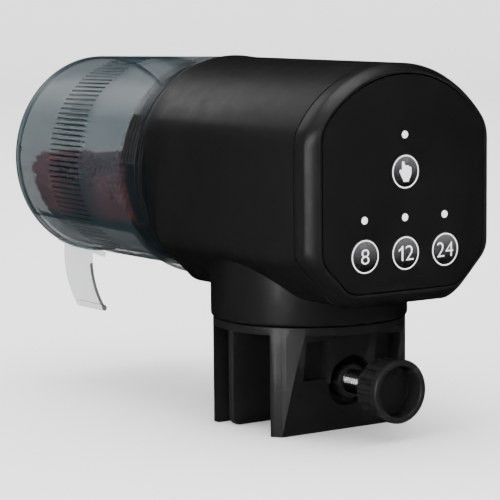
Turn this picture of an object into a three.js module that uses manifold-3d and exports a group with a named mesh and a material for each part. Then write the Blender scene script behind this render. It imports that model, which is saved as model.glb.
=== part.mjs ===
// An automatic fish feeder that clamps on a tank's rim: a black drive housing that swivels on its
// clamp, and a clear food drum that a small geared motor turns once for each feed.
// Millimetres, +Z up. The origin is on the swivel axis, on the face that rests on the tank's rim.
// The control panel faces -Y and the drum points along +Y.
import * as THREE from 'three';
import { mergeVertices } from 'three/addons/utils/BufferGeometryUtils.js';
import Module from 'manifold-3d';

const wasm = await Module();
wasm.setup();

// ---- driving dimensions -------------------------------------------------------------------
const GAP = 0.3; // between pieces that touch or run on each other
const AXIS_HEIGHT = 42.5; // drum axis above the rim seat
const WALL = 2;

// Sections across the drum axis: an arched top, flat sides, 45 degree lower corners, a flat floor.
const BODY = { halfWidth: 31.8, archRadius: 35.7, archCentre: -2.1, cornerSum: 50.8, floor: -32.4 };
const PANEL = { halfWidth: 27.9, archRadius: 33.6, archCentre: -2.9, cornerSum: 47, floor: -28.4 };
const RIM_RADIUS = 34;
const PANEL_Y = -44.8; // the panel's front face
const BEVEL_Y = -41.4; // where the bezel's bevel starts
const SEAM_Y = -36.8; // the joint between the bezel and the housing
const FLAT_END_Y = 32.2;
const REAR_Y = 38;

const NECK_RADIUS = 28.5;
const NECK_BOTTOM = 2.7;
const BASE_RADIUS = 27.9;
const BASE_THICKNESS = 2.4;
const PIVOT_RADIUS = 6;
const PIVOT_TOP = 7.2;

const JAW_BOTTOM = -28.8;
const REAR_JAW = { front: 12.6, back: 20 };
const FRONT_JAW = { back: -14.2, bottomFront: -17.1, topFront: -21.9 };
const PLATE = { front: 5.6, back: 8.1, halfWidth: 23.1 };
const SCREW_HEIGHT = -14.5;
const SCREW_RADIUS = 3.4;
const KNOB = { radius: 9, front: -42.9, back: -34.3, cupRadius: 7.1, cupDepth: 6 };

const BUTTON_RADIUS = 4.65;
const BUTTON_SPACING = 13.9;
const BUTTON_ROW = -18.2;
const LIGHT_ROW = -8.4;
const FEED_BUTTON_HEIGHT = 4.1;
const FEED_LIGHT_HEIGHT = 14.2;

const DRUM = { front: 40.9, back: 116.3, frontRadius: 33.5, backRadius: 32, wall: 1.6, endWall: 1.8 };
const RECESS = { front: 52.3, back: 114.2, low: -80, high: 55, depth: 2.6 };
const PORT = { front: 97.3, back: 112.3, low: -8, high: 20 };
const CHUTE = { front: 96.5, back: 113.5, angle: 27.7, radius: 32, bottom: -48.9, thickness: 0.9 };
const LOCK_TAB = { front: 41.2, back: 48.4, low: 94.5, high: 120.5 };

const OUTPUT_GEAR = { teeth: 36, module: 0.7, front: 26.4, back: 30 };
const IDLER_SMALL = { teeth: 10, module: 0.7, front: 24.2, back: 30.6 };
const IDLER_LARGE = { teeth: 30, module: 0.6, front: 21.2, back: 24.2 };
const PINION = { teeth: 10, module: 0.6, front: 21, back: 24.4 };

// ---- materials ----------------------------------------------------------------------------
const paint = (color, roughness, metalness = 0, opacity = 1) =>
  new THREE.MeshStandardMaterial({ color, roughness, metalness, opacity, transparent: opacity < 1 });
const blackPlastic = paint(0x1c1c1d, 0.42);
const glossBlack = paint(0x101011, 0.25);
const smokePlastic = paint(0x77868d, 0.12, 0, 0.5);
const clearPlastic = paint(0xdfe9e9, 0.08, 0, 0.35);
const whitePlastic = paint(0xe9e9e6, 0.5);
const greyPlastic = paint(0x5a5c60, 0.5);
const rubber = paint(0x1a1a1a, 0.85);
const steel = paint(0xb9bcc0, 0.3, 1);
const brass = paint(0xb99a55, 0.35, 1);
const boardGreen = paint(0x1f5b3a, 0.5);
const cellWrap = paint(0x3b4a5c, 0.4);

// ---- solids -------------------------------------------------------------------------------
const radians = (degrees) => (degrees * Math.PI) / 180;

// Six times the volume inside a triangle mesh: negative when its faces point inward.
function signedVolume(vertices, triangles) {
  const corner = (i) => new THREE.Vector3().fromArray(vertices, triangles[i] * 3);
  let sum = 0;
  for (let i = 0; i < triangles.length; i += 3) {
    sum += corner(i).dot(corner(i + 1).cross(corner(i + 2)));
  }
  return sum;
}

// A three.js geometry as a manifold solid that faces outward.
function solid(geometry) {
  const bare = geometry.clone();
  bare.deleteAttribute('normal');
  bare.deleteAttribute('uv');
  const merged = mergeVertices(bare, 1e-4);
  const vertProperties = new Float32Array(merged.attributes.position.array);
  const triVerts = new Uint32Array(merged.index.array);
  if (signedVolume(vertProperties, triVerts) < 0) triVerts.reverse();
  return new wasm.Manifold(new wasm.Mesh({ numProp: 3, vertProperties, triVerts }));
}

function geometryOf(body) {
  const { vertProperties, triVerts } = body.getMesh();
  const geometry = new THREE.BufferGeometry();
  geometry.setAttribute('position', new THREE.BufferAttribute(vertProperties, 3));
  geometry.setIndex(new THREE.BufferAttribute(triVerts, 1));
  geometry.computeVertexNormals();
  return geometry;
}

const join = (first, ...others) => others.reduce((all, next) => all.add(next), first);
const cut = (first, ...others) => others.reduce((all, next) => all.subtract(next), first);

function block([x0, x1], [y0, y1], [z0, z1]) {
  const box = new THREE.BoxGeometry(x1 - x0, y1 - y0, z1 - z0);
  return solid(box.translate((x0 + x1) / 2, (y0 + y1) / 2, (z0 + z1) / 2));
}

// A rod along Y, centred on (x, z).
function rod(radius, y0, y1, segments = 16, x = 0, z = 0) {
  const cylinder = new THREE.CylinderGeometry(radius, radius, y1 - y0, segments);
  return solid(cylinder.translate(x, (y0 + y1) / 2, z));
}

// A rod along Z, centred on (x, y).
function post(radius, z0, z1, segments = 16, x = 0, y = 0) {
  const cylinder = new THREE.CylinderGeometry(radius, radius, z1 - z0, segments);
  return solid(cylinder.rotateX(Math.PI / 2).translate(x, y, (z0 + z1) / 2));
}

// A closed profile of [radius, y] points turned about the Y axis.
function turned(profile, segments) {
  const points = [...profile, profile[0]].map(([radius, y]) => new THREE.Vector2(radius, y));
  return solid(new THREE.LatheGeometry(points, segments));
}

function turnedUpright(profile, segments) {
  const points = [...profile, profile[0]].map(([radius, z]) => new THREE.Vector2(radius, z));
  return solid(new THREE.LatheGeometry(points, segments).rotateX(Math.PI / 2));
}

function extrudedAlongY(outline, y0, y1) {
  const shape = new THREE.Shape(outline.map(([x, z]) => new THREE.Vector2(x, z)));
  const extruded = new THREE.ExtrudeGeometry(shape, { depth: y1 - y0, bevelEnabled: false });
  return solid(extruded.rotateX(Math.PI / 2).translate(0, y1, 0));
}

function extrudedAlongX(outline, x0, x1) {
  const shape = new THREE.Shape(outline.map(([y, z]) => new THREE.Vector2(y, z)));
  const extruded = new THREE.ExtrudeGeometry(shape, { depth: x1 - x0, bevelEnabled: false });
  return solid(extruded.rotateX(Math.PI / 2).rotateZ(Math.PI / 2).translate(x0, 0, 0));
}

// Closed rings of [x, z] points with equal counts, joined along Y.
function lofted(rings) {
  const count = rings[0].outline.length;
  const vertices = rings.flatMap(({ y, outline }) => outline.flatMap(([x, z]) => [x, y, z]));
  const triangles = [];
  for (let ring = 0; ring < rings.length - 1; ring += 1) {
    for (let i = 0; i < count; i += 1) {
      const a = ring * count + i;
      const b = ring * count + ((i + 1) % count);
      triangles.push(a, b, b + count, a, b + count, a + count);
    }
  }
  const last = (rings.length - 1) * count;
  for (let i = 1; i < count - 1; i += 1) {
    triangles.push(0, i + 1, i, last, last + i, last + i + 1);
  }
  const geometry = new THREE.BufferGeometry();
  geometry.setAttribute('position', new THREE.Float32BufferAttribute(vertices, 3));
  geometry.setIndex(triangles);
  return solid(geometry);
}

// The points of a straight stretch, without its last point.
const stretch = ([x0, z0], [x1, z1], steps) =>
  Array.from({ length: steps }, (_, i) => {
    const share = i / steps;
    return [x0 + (x1 - x0) * share, z0 + (z1 - z0) * share];
  });

// A section's outline, moved inward by an inset.
function outline(section, inset = 0) {
  const w = section.halfWidth - inset;
  const r = section.archRadius - inset;
  const floor = section.floor + inset;
  const cornerSum = section.cornerSum - inset * Math.SQRT2;
  const archStart = Math.acos(w / r);
  const steps = 14;
  const arch = Array.from({ length: steps }, (_, i) => {
    const angle = archStart + ((Math.PI - 2 * archStart) * i) / steps;
    return [r * Math.cos(angle), section.archCentre + r * Math.sin(angle)];
  });
  const crease = section.archCentre + r * Math.sin(archStart);
  const corner = w - cornerSum;
  const foot = cornerSum + floor;
  return [
    ...arch,
    ...stretch([-w, crease], [-w, corner], 4),
    ...stretch([-w, corner], [-foot, floor], 3),
    ...stretch([-foot, floor], [foot, floor], 4),
    ...stretch([foot, floor], [w, corner], 3),
    ...stretch([w, corner], [w, crease], 4),
  ];
}

// A circle whose points lie in the directions of a section's points.
function circleLike(section, radius) {
  return outline(section).map(([x, z]) => {
    const scale = radius / Math.hypot(x, z);
    return [x * scale, z * scale];
  });
}

const prism = (section, inset, y0, y1) =>
  lofted([{ y: y0, outline: outline(section, inset) }, { y: y1, outline: outline(section, inset) }]);

// A point on a circle about the drum axis; the angle runs from straight down towards -X.
const around = (radius, degrees) => {
  const angle = radians(degrees);
  return [-radius * Math.sin(angle), -radius * Math.cos(angle)];
};

// A point on a circle about the origin, with the angle from +X.
const onCircle = (radius, degrees) => {
  const angle = radians(degrees);
  return [radius * Math.cos(angle), radius * Math.sin(angle)];
};

// A curved plate about the drum axis between two radii, two angles and two places along Y.
function curvedPlate(inner, outer, low, high, y0, y1) {
  const steps = Math.max(2, Math.ceil((high - low) / 7));
  const arc = (radius) =>
    Array.from({ length: steps + 1 }, (_, i) => around(radius, low + ((high - low) * i) / steps));
  return extrudedAlongY([...arc(outer), ...arc(inner).reverse()], y0, y1);
}

// A spur gear along Y with straight-sided teeth; turn sets where its first tooth points.
function spurGear({ teeth, module, front, back }, turn = 0) {
  const pitchRadius = (teeth * module) / 2;
  const tip = pitchRadius + 0.8 * module;
  const root = pitchRadius - 1.2 * module;
  const step = (2 * Math.PI) / teeth;
  const points = [];
  for (let tooth = 0; tooth < teeth; tooth += 1) {
    const centre = radians(turn) + tooth * step;
    for (const [radius, offset] of [[root, -0.28], [tip, -0.11], [tip, 0.11], [root, 0.28]]) {
      const angle = centre + offset * step;
      points.push([radius * Math.cos(angle), radius * Math.sin(angle)]);
    }
  }
  return extrudedAlongY(points, front, back);
}

// A pan-head screw along Y: its head starts at y0 and its shank runs to y1.
function screwAlongY(headRadius, headLength, shankRadius, y0, y1) {
  const direction = Math.sign(y1 - y0);
  const neck = y0 + direction * headLength;
  const head = [[0, y0], [headRadius, y0], [headRadius, neck]];
  return turned([...head, [shankRadius, neck], [shankRadius, y1], [0, y1]], 10);
}

function named(name, body, material) {
  const mesh = new THREE.Mesh(geometryOf(body), material);
  mesh.name = name;
  return mesh;
}

function placed(mesh, x, y, z) {
  mesh.position.set(x, y, z);
  return mesh;
}

// ---- the clamp ----------------------------------------------------------------------------
const feeder = new THREE.Group();
const aboutDrumAxis = new THREE.Group();
aboutDrumAxis.position.z = AXIS_HEIGHT;
const aboutScrewAxis = new THREE.Group();
aboutScrewAxis.position.z = SCREW_HEIGHT;
feeder.add(aboutDrumAxis, aboutScrewAxis);

// An upright plate across the round base, with rounded lower corners at the given half width.
function uprightPlate(y0, y1, halfWidth, cornerRadius, top) {
  const cornerX = halfWidth - cornerRadius;
  const cornerZ = JAW_BOTTOM + cornerRadius;
  const shape = new THREE.Shape();
  shape.moveTo(-halfWidth, top);
  shape.lineTo(-halfWidth, cornerZ);
  shape.absarc(-cornerX, cornerZ, cornerRadius, Math.PI, 1.5 * Math.PI);
  shape.absarc(cornerX, cornerZ, cornerRadius, 1.5 * Math.PI, 2 * Math.PI);
  shape.lineTo(halfWidth, top);
  const options = { depth: y1 - y0, bevelEnabled: false, curveSegments: 4 };
  return solid(new THREE.ExtrudeGeometry(shape, options).rotateX(Math.PI / 2).translate(0, y1, 0));
}

function clampBase() {
  const bossFront = -20.8;
  const disc = post(BASE_RADIUS, 0, BASE_THICKNESS, 48);
  const envelope = post(BASE_RADIUS, JAW_BOTTOM - 1, 1, 48);
  const rearHalfWidth = Math.sqrt(BASE_RADIUS ** 2 - REAR_JAW.front ** 2);
  const rearJaw = uprightPlate(REAR_JAW.front, REAR_JAW.back, rearHalfWidth, 2, 0.5).intersect(envelope);
  const frontJaw = extrudedAlongX(
    [
      [FRONT_JAW.back, 0.5],
      [FRONT_JAW.back, JAW_BOTTOM],
      [FRONT_JAW.bottomFront, JAW_BOTTOM],
      [FRONT_JAW.topFront, 0.5],
    ],
    -BASE_RADIUS,
    BASE_RADIUS,
  ).intersect(envelope);
  const column = block([-8.3, 8.3], [-20.3, FRONT_JAW.back], [SCREW_HEIGHT, 0.5]).intersect(envelope);
  const pockets = [-12.4, 12.4].map((x) => block([x - 4.1, x + 4.1], [-30, -17], [-13.2, -1.8]));
  const boss = rod(4.85, bossFront, FRONT_JAW.back, 24, 0, SCREW_HEIGHT);
  const bossGroove = cut(
    rod(7.4, -30, -16.2, 24, 0, SCREW_HEIGHT),
    rod(4.85, -31, -15, 24, 0, SCREW_HEIGHT),
  );
  const threadHole = rod(SCREW_RADIUS + GAP, -40, -10, 24, 0, SCREW_HEIGHT);
  const pivot = post(PIVOT_RADIUS, BASE_THICKNESS - 0.5, PIVOT_TOP, 24);
  const pivotHole = post(1.7, 1.2, PIVOT_TOP + 1, 12);
  const jaws = cut(join(frontJaw, column), ...pockets, bossGroove);
  return cut(join(disc, rearJaw, jaws, boss, pivot), threadHole, pivotHole);
}

// The swivel's screw, washer and wavy spring hold the housing's floor down on the base.
function waveWasher(inner, outer, z, thickness, rise) {
  const count = 24;
  const corner = (i, radius, lift) => {
    const angle = (i * 2 * Math.PI) / count;
    return [radius * Math.cos(angle), radius * Math.sin(angle), z + lift + rise * Math.sin(3 * angle)];
  };
  const vertices = [];
  const triangles = [];
  for (let i = 0; i < count; i += 1) {
    vertices.push(...corner(i, inner, 0), ...corner(i, outer, 0));
    vertices.push(...corner(i, outer, thickness), ...corner(i, inner, thickness));
    for (let side = 0; side < 4; side += 1) {
      const a = i * 4 + side;
      const b = i * 4 + ((side + 1) % 4);
      const next = (k) => (k + 4) % (count * 4);
      triangles.push(a, b, next(b), a, next(b), next(a));
    }
  }
  const geometry = new THREE.BufferGeometry();
  geometry.setAttribute('position', new THREE.Float32BufferAttribute(vertices, 3));
  geometry.setIndex(triangles);
  return solid(geometry);
}

feeder.add(named('clamp_base', clampBase(), blackPlastic));
feeder.add(named('swivel_spring_washer', waveWasher(6.5, 9.8, 5.7, 0.5, 0.45), steel));
const washerProfile = [[2, 7.5], [10.4, 7.5], [10.4, 8.5], [2, 8.5]];
feeder.add(named('swivel_washer', turnedUpright(washerProfile, 24), steel));
const pivotScrewShank = [[0, 1.5], [1.4, 1.5], [1.4, 8.8]];
const pivotScrewHead = [[3.4, 8.8], [3.4, 10.6], [2.2, 11.2], [0, 11.2]];
feeder.add(named('swivel_screw', turnedUpright([...pivotScrewShank, ...pivotScrewHead], 14), steel));

// ---- the pressure plate and its screw -------------------------------------------------------
function pressurePlate() {
  const envelope = post(BASE_RADIUS - 0.1, JAW_BOTTOM - 1, 0, 48);
  const plate = uprightPlate(PLATE.front, PLATE.back, PLATE.halfWidth, 3, -0.4).intersect(envelope);
  const socket = rod(6, PLATE.front - 3, PLATE.front + 0.5, 20, 0, SCREW_HEIGHT);
  const hole = rod(SCREW_RADIUS - 0.2, PLATE.front - 4, PLATE.front + 1.2, 16, 0, SCREW_HEIGHT);
  return cut(join(plate, socket), hole);
}

// The rod is plain, at the thread's outer radius; its narrow tip turns in the plate's socket.
function clampScrew() {
  const start = KNOB.back - 1.5;
  const threadEnd = PLATE.front - 3 - GAP;
  const tip = PLATE.front + 0.9;
  const tipRadius = SCREW_RADIUS - 0.8;
  const thread = [[0, start], [SCREW_RADIUS, start], [SCREW_RADIUS, threadEnd]];
  return turned([...thread, [tipRadius, threadEnd], [tipRadius, tip], [0, tip]], 16);
}

function screwKnob() {
  const { radius, front, back, cupRadius, cupDepth } = KNOB;
  const flange = front + 2.6;
  const fluteCount = 12;
  const flutes = Array.from({ length: fluteCount }, (_, i) => {
    const [x, z] = onCircle(radius - 0.3, (i * 360) / fluteCount);
    return rod(0.9, flange, back + 1, 6, x, z);
  });
  const body = turned(
    [
      [0, back],
      [radius - 1.2, back],
      [radius - 0.5, back + 0.8],
      [radius - 0.5, flange],
      [radius, front + 2.2],
      [radius, front + 0.7],
      [radius - 0.7, front],
      [cupRadius, front],
      [cupRadius, front + cupDepth],
      [0, front + cupDepth],
    ],
    28,
  );
  const screwHole = rod(SCREW_RADIUS + GAP, back - 1.8, back + 1, 14);
  return cut(body, screwHole, ...flutes);
}

feeder.add(named('pressure_plate', pressurePlate(), blackPlastic));
aboutScrewAxis.add(named('clamp_screw', clampScrew(), steel));
aboutScrewAxis.add(named('screw_knob', screwKnob(), blackPlastic));

// ---- the housing ----------------------------------------------------------------------------
const BATTERY_WINDOW = { front: -29.5, back: 23, bottom: -17.3, top: 12.3 };
const BEZEL_SCREWS = [-1, 1].flatMap((side) => [[side * 25.6, 8.5], [side * 25.6, -14]]);
const BULKHEAD_SCREWS = [30, 150, 270].map((angle) => onCircle(27.6, angle));

// The stretch along X from beside a bezel screw out to a given distance from the middle.
const earSpan = (x, reach) => (x < 0 ? [-reach, x + 3.3] : [x - 3.3, reach]);

function housingShell() {
  const front = SEAM_Y + GAP / 2;
  const outer = lofted([
    { y: front, outline: outline(BODY) },
    { y: FLAT_END_Y, outline: outline(BODY) },
    { y: REAR_Y - 0.8, outline: circleLike(BODY, RIM_RADIUS) },
    { y: REAR_Y, outline: circleLike(BODY, RIM_RADIUS) },
  ]);
  const neck = turnedUpright(
    [
      [0, NECK_BOTTOM],
      [NECK_RADIUS - 0.8, NECK_BOTTOM],
      [NECK_RADIUS - 0.2, NECK_BOTTOM + 0.3],
      [NECK_RADIUS, NECK_BOTTOM + 0.9],
      [NECK_RADIUS, AXIS_HEIGHT - 20],
      [0, AXIS_HEIGHT - 20],
    ],
    40,
  ).translate([0, 0, -AXIS_HEIGHT]);
  const floorTop = NECK_BOTTOM + WALL;
  const neckCavity = post(NECK_RADIUS - WALL, floorTop - AXIS_HEIGHT, -26, 40);
  const pivotHole = post(PIVOT_RADIUS + GAP, NECK_BOTTOM - 1 - AXIS_HEIGHT, floorTop + 1 - AXIS_HEIGHT, 24);
  const cavity = prism(BODY, WALL, front - 1, REAR_Y - 4.2);
  const earDepth = [front, front + 2.2];
  const ears = BEZEL_SCREWS.map(([x, z]) => block(earSpan(x, 30.5), earDepth, [z - 3.2, z + 3.2]));
  const earHoles = BEZEL_SCREWS.map(([x, z]) => rod(1.5, front - 1, front + 3, 10, x, z));
  const rearOpening = rod(25.2, 30, REAR_Y + 1, 36);
  const bulkheadSeat = rod(30.3, REAR_Y - 2.4, REAR_Y + 1, 40);
  const ledgeHoles = BULKHEAD_SCREWS.map(([x, z]) => rod(1.4, 33, REAR_Y, 10, x, z));
  const { front: y0, back: y1, bottom, top } = BATTERY_WINDOW;
  const window = block([28, 33], [y0, y1], [bottom, top]);
  const shell = cut(join(outer, neck), neckCavity, pivotHole, cavity);
  return cut(join(shell, ...ears), ...earHoles, rearOpening, bulkheadSeat, ...ledgeHoles, window);
}

function frontBezel() {
  const back = SEAM_Y - GAP / 2;
  const outer = lofted([
    { y: back, outline: outline(BODY) },
    { y: BEVEL_Y, outline: outline(BODY) },
    { y: PANEL_Y, outline: outline(PANEL, -0.9) },
  ]);
  const seat = prism(PANEL, -0.2, PANEL_Y - 1, PANEL_Y + 1.8);
  const opening = prism(PANEL, 1.8, PANEL_Y - 1, back + 1);
  const hollow = prism(BODY, WALL, BEVEL_Y + 1, back + 1);
  const bossDepth = [BEVEL_Y + 0.5, back];
  const bosses = BEZEL_SCREWS.map(([x, z]) => block(earSpan(x, 30.7), bossDepth, [z - 3, z + 3]));
  const bossHoles = BEZEL_SCREWS.map(([x, z]) => rod(1.4, BEVEL_Y + 1.4, back + 1, 10, x, z));
  const ring = join(cut(outer, hollow), ...bosses.map((boss) => boss.intersect(outer)));
  return cut(ring, seat, opening, ...bossHoles);
}

// Each button has a light above it and a small switch behind it. The lower three set the hours
// between feeds.
const intervalButton = (hours, x) => ({
  button: `interval_button_${hours}`,
  light: `interval_light_${hours}`,
  part: `interval_switch_${hours}`,
  x,
  z: BUTTON_ROW,
  lightZ: LIGHT_ROW,
});
const BUTTONS = [
  {
    button: 'manual_feed_button',
    light: 'feed_light',
    part: 'feed_switch',
    x: 0,
    z: FEED_BUTTON_HEIGHT,
    lightZ: FEED_LIGHT_HEIGHT,
  },
  intervalButton(8, -BUTTON_SPACING),
  intervalButton(12, 0),
  intervalButton(24, BUTTON_SPACING),
];
const PANEL_POSTS = [-17.5, 17.5].map((x) => [x, 8]);
const BOARD = { front: -36.9, back: -35.3 };
const LIGHT_RADIUS = 1.05;
const BUTTON_FLANGE_RADIUS = 5.6;
const PLUNGER_RADIUS = 1.7;

function controlPanel() {
  const plate = prism(PANEL, 0.1, PANEL_Y, PANEL_Y + 1.5);
  const posts = PANEL_POSTS.map(([x, z]) => rod(2.2, PANEL_Y + 1, BOARD.front - GAP, 12, x, z));
  const postHoles = PANEL_POSTS.map(([x, z]) => rod(1.2, PANEL_Y + 3, BOARD.front, 8, x, z));
  const through = [PANEL_Y - 1, PANEL_Y + 2];
  const buttonHoles = BUTTONS.map(({ x, z }) => rod(BUTTON_RADIUS + GAP, ...through, 20, x, z));
  const lightHoles = BUTTONS.map(({ x, lightZ }) => rod(LIGHT_RADIUS + GAP, ...through, 12, x, lightZ));
  return cut(join(plate, ...posts), ...postHoles, ...buttonHoles, ...lightHoles);
}

const buttonProfile = [
  [0, PANEL_Y - 0.2],
  [BUTTON_RADIUS - 0.3, PANEL_Y - 0.2],
  [BUTTON_RADIUS, PANEL_Y + 0.1],
  [BUTTON_RADIUS, PANEL_Y + 1.9],
  [BUTTON_FLANGE_RADIUS, PANEL_Y + 1.9],
  [BUTTON_FLANGE_RADIUS, PANEL_Y + 2.6],
  [PLUNGER_RADIUS, PANEL_Y + 2.6],
  [PLUNGER_RADIUS, PANEL_Y + 4.2],
  [0, PANEL_Y + 4.2],
];
const lightProfile = [
  [0, PANEL_Y - 0.05],
  [LIGHT_RADIUS, PANEL_Y - 0.05],
  [LIGHT_RADIUS, BOARD.front - 1.3],
  [1.8, BOARD.front - 1.3],
  [1.8, BOARD.front - GAP],
  [0, BOARD.front - GAP],
];

function tactSwitch() {
  const body = block([-3, 3], [BOARD.front - 3, BOARD.front - GAP], [-3, 3]);
  return join(body, rod(1.6, BOARD.front - 3.3, BOARD.front - 2, 10));
}

function circuitBoard() {
  const board = block([-21.5, 21.5], [BOARD.front, BOARD.back], [-24.5, 21.5]);
  const chip = block([-5, 5], [BOARD.back - 0.2, BOARD.back + 1.4], [-6, 2]);
  const screwHoles = PANEL_POSTS.map(([x, z]) => rod(1.2, BOARD.front - 1, BOARD.back + 1, 8, x, z));
  return cut(join(board, chip), ...screwHoles);
}

aboutDrumAxis.add(named('housing_shell', housingShell(), blackPlastic));
aboutDrumAxis.add(named('front_bezel', frontBezel(), blackPlastic));
aboutDrumAxis.add(named('control_panel', controlPanel(), glossBlack));
aboutDrumAxis.add(named('circuit_board', circuitBoard(), boardGreen));
for (const { button, light, part, x, z, lightZ } of BUTTONS) {
  aboutDrumAxis.add(placed(named(button, turned(buttonProfile, 20), blackPlastic), x, 0, z));
  aboutDrumAxis.add(placed(named(light, turned(lightProfile, 10), whitePlastic), x, 0, lightZ));
  aboutDrumAxis.add(placed(named(part, tactSwitch(), greyPlastic), x, 0, z));
}
BEZEL_SCREWS.forEach(([x, z], i) => {
  const screw = screwAlongY(2.5, 1.7, 1.1, SEAM_Y + GAP / 2 + 4.2, BEVEL_Y + 1.8);
  aboutDrumAxis.add(placed(named(`bezel_screw_${i + 1}`, screw, steel), x, 0, z));
});
PANEL_POSTS.forEach(([x, z], i) => {
  const screw = screwAlongY(2, 1.4, 0.9, BOARD.back + GAP + 1.4, PANEL_Y + 3.4);
  aboutDrumAxis.add(placed(named(`board_screw_${i + 1}`, screw, steel), x, 0, z));
});

// ---- the batteries and their door -----------------------------------------------------------
const TRAY = { front: -31.4, back: 25, bottom: -18, top: 13, inside: 12.2, outside: 29.3, wall: 0.9 };
const CELL = { radius: 7, x: 20.9, bodyLength: 48.6, nub: 1.2, nubRadius: 2.7 };
const CELL_HEIGHTS = [4.85, -9.85];

function batteryTray() {
  const { front, back, bottom, top, inside, outside, wall } = TRAY;
  const box = block([inside, outside], [front, back], [bottom, top]);
  const along = [front + wall, back - wall];
  const hollow = block([inside + wall, outside + 1], along, [bottom + wall, top - wall]);
  return cut(box, hollow);
}

// A cell along Y whose positive nub points the way that direction says.
function batteryCell(direction) {
  const start = direction > 0 ? TRAY.front + 4.1 : TRAY.back - 4.1;
  const shoulder = start + direction * CELL.bodyLength;
  const end = shoulder + direction * CELL.nub;
  const can = [[0, start], [CELL.radius, start], [CELL.radius, shoulder]];
  return turned([...can, [CELL.nubRadius, shoulder], [CELL.nubRadius, end], [0, end]], 20);
}

const CONTACT = { offset: TRAY.wall + GAP, thickness: 0.4 };
function contactPlate(y0) {
  return block([14, 28], [y0, y0 + CONTACT.thickness], [TRAY.bottom + 1.6, TRAY.top - 1.6]);
}

function contactSpring(y0, y1) {
  return turned([[0, y0], [4.6, y0], [3.8, (y0 + y1) / 2], [2.6, y1], [0, y1]], 14);
}

function batteryDoor() {
  const { front, back, bottom, top } = BATTERY_WINDOW;
  const side = [BODY.halfWidth - 1.8, BODY.halfWidth];
  const plate = block(side, [front + GAP, back - GAP], [bottom + GAP, top - GAP]);
  const grips = [0, 1, 2].map((i) =>
    block([BODY.halfWidth - 0.6, BODY.halfWidth + 1], [14 + i * 2.2, 15.1 + i * 2.2], [-8.5, 3.5]),
  );
  return cut(plate, ...grips);
}

aboutDrumAxis.add(named('battery_tray', batteryTray(), blackPlastic));
aboutDrumAxis.add(named('contact_plate_front', contactPlate(TRAY.front + CONTACT.offset), steel));
const rearPlateFront = TRAY.back - CONTACT.offset - CONTACT.thickness;
aboutDrumAxis.add(named('contact_plate_rear', contactPlate(rearPlateFront), steel));
CELL_HEIGHTS.forEach((z, i) => {
  const direction = i === 0 ? 1 : -1;
  const plateFace = CONTACT.offset + CONTACT.thickness + GAP;
  const springStart = direction > 0 ? TRAY.front + plateFace : TRAY.back - plateFace;
  const springEnd = direction > 0 ? TRAY.front + 3.8 : TRAY.back - 3.8;
  const cell = named(`battery_cell_${i + 1}`, batteryCell(direction), cellWrap);
  const spring = named(`contact_spring_${i + 1}`, contactSpring(springStart, springEnd), steel);
  aboutDrumAxis.add(placed(cell, CELL.x, 0, z), placed(spring, CELL.x, 0, z));
});
aboutDrumAxis.add(named('battery_door', batteryDoor(), blackPlastic));

// ---- the bulkhead, the motor and the gears ----------------------------------------------------
const gearRadius = ({ teeth, module }) => (teeth * module) / 2;
const IDLER_CENTRE = [0, gearRadius(OUTPUT_GEAR) + gearRadius(IDLER_SMALL)];
const MOTOR_CENTRE = [-(gearRadius(IDLER_LARGE) + gearRadius(PINION)), IDLER_CENTRE[1]];
const PILLARS = [[-17.3, 11.2], [14, 16.3]];
const BRACKET = { front: 18.6, back: 20.4 };
const BULKHEAD = { front: REAR_Y - 2.1, back: REAR_Y - 0.3 };
const MOTOR_SHAFT = { radius: 1, end: 24.6 };
const DRIVE_SHAFT = { radius: 3, start: OUTPUT_GEAR.front - 2, end: 39.3 };
const DOG = { pitchRadius: 6.6, prongRadius: 1.9, angles: [90, 210, 330] };

function rearBulkhead() {
  const disc = rod(30, BULKHEAD.front, BULKHEAD.back, 40);
  const pinBoss = rod(3, BULKHEAD.front - 2.6, BULKHEAD.front + 0.5, 14, ...IDLER_CENTRE);
  const pinHole = rod(1.8, BULKHEAD.front - 4, BULKHEAD.front + 0.6, 12, ...IDLER_CENTRE);
  const bushHole = rod(6, BULKHEAD.front - 1, BULKHEAD.back + 1, 24);
  const screwHoles = [...BULKHEAD_SCREWS, ...PILLARS].flatMap(([x, z]) => [
    rod(1.4, BULKHEAD.front - 1, BULKHEAD.back + 1, 10, x, z),
    rod(2.2, BULKHEAD.back - 1, BULKHEAD.back + 1, 12, x, z),
  ]);
  return cut(join(disc, pinBoss), pinHole, bushHole, ...screwHoles);
}

function motorBracket() {
  const plateOutline = [[-20, 8], [3, 8], [11.2, 13.5], [17, 13.5], [17, 20], [14, 23.5], [-20, 23.5]];
  const plate = extrudedAlongY(plateOutline, BRACKET.front, BRACKET.back);
  const pillars = PILLARS.map(([x, z]) => rod(2.5, BRACKET.back - 0.5, BULKHEAD.front - GAP, 12, x, z));
  const pillarHoles = PILLARS.map(([x, z]) => rod(1.4, BULKHEAD.front - 7, BULKHEAD.front + 1, 10, x, z));
  const pinHole = rod(1.8, BRACKET.front - 1, BRACKET.back + 1, 12, ...IDLER_CENTRE);
  const shaftHole = rod(2.6, BRACKET.front - 1, BRACKET.back + 1, 14, ...MOTOR_CENTRE);
  return cut(join(plate, ...pillars), ...pillarHoles, pinHole, shaftHole);
}

function gearMotor() {
  const back = BRACKET.front - GAP;
  const rearCap = [[0, -6], [3, -6], [3, -4.4]];
  const can = [[7, -4.4], [7, back]];
  const boss = [[2.3, back], [2.3, BRACKET.back]];
  const { radius, end } = MOTOR_SHAFT;
  const shaft = [[radius, BRACKET.back], [radius, end], [0, end]];
  return turned([...rearCap, ...can, ...boss, ...shaft], 20);
}

function idlerGear() {
  const toothTurn = 180 / IDLER_SMALL.teeth + 90;
  const small = spurGear(IDLER_SMALL, toothTurn);
  const large = spurGear({ ...IDLER_LARGE, back: IDLER_LARGE.back + 0.1 }, 180);
  return cut(join(large, small), rod(1.8, 15, 40, 12));
}

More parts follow.
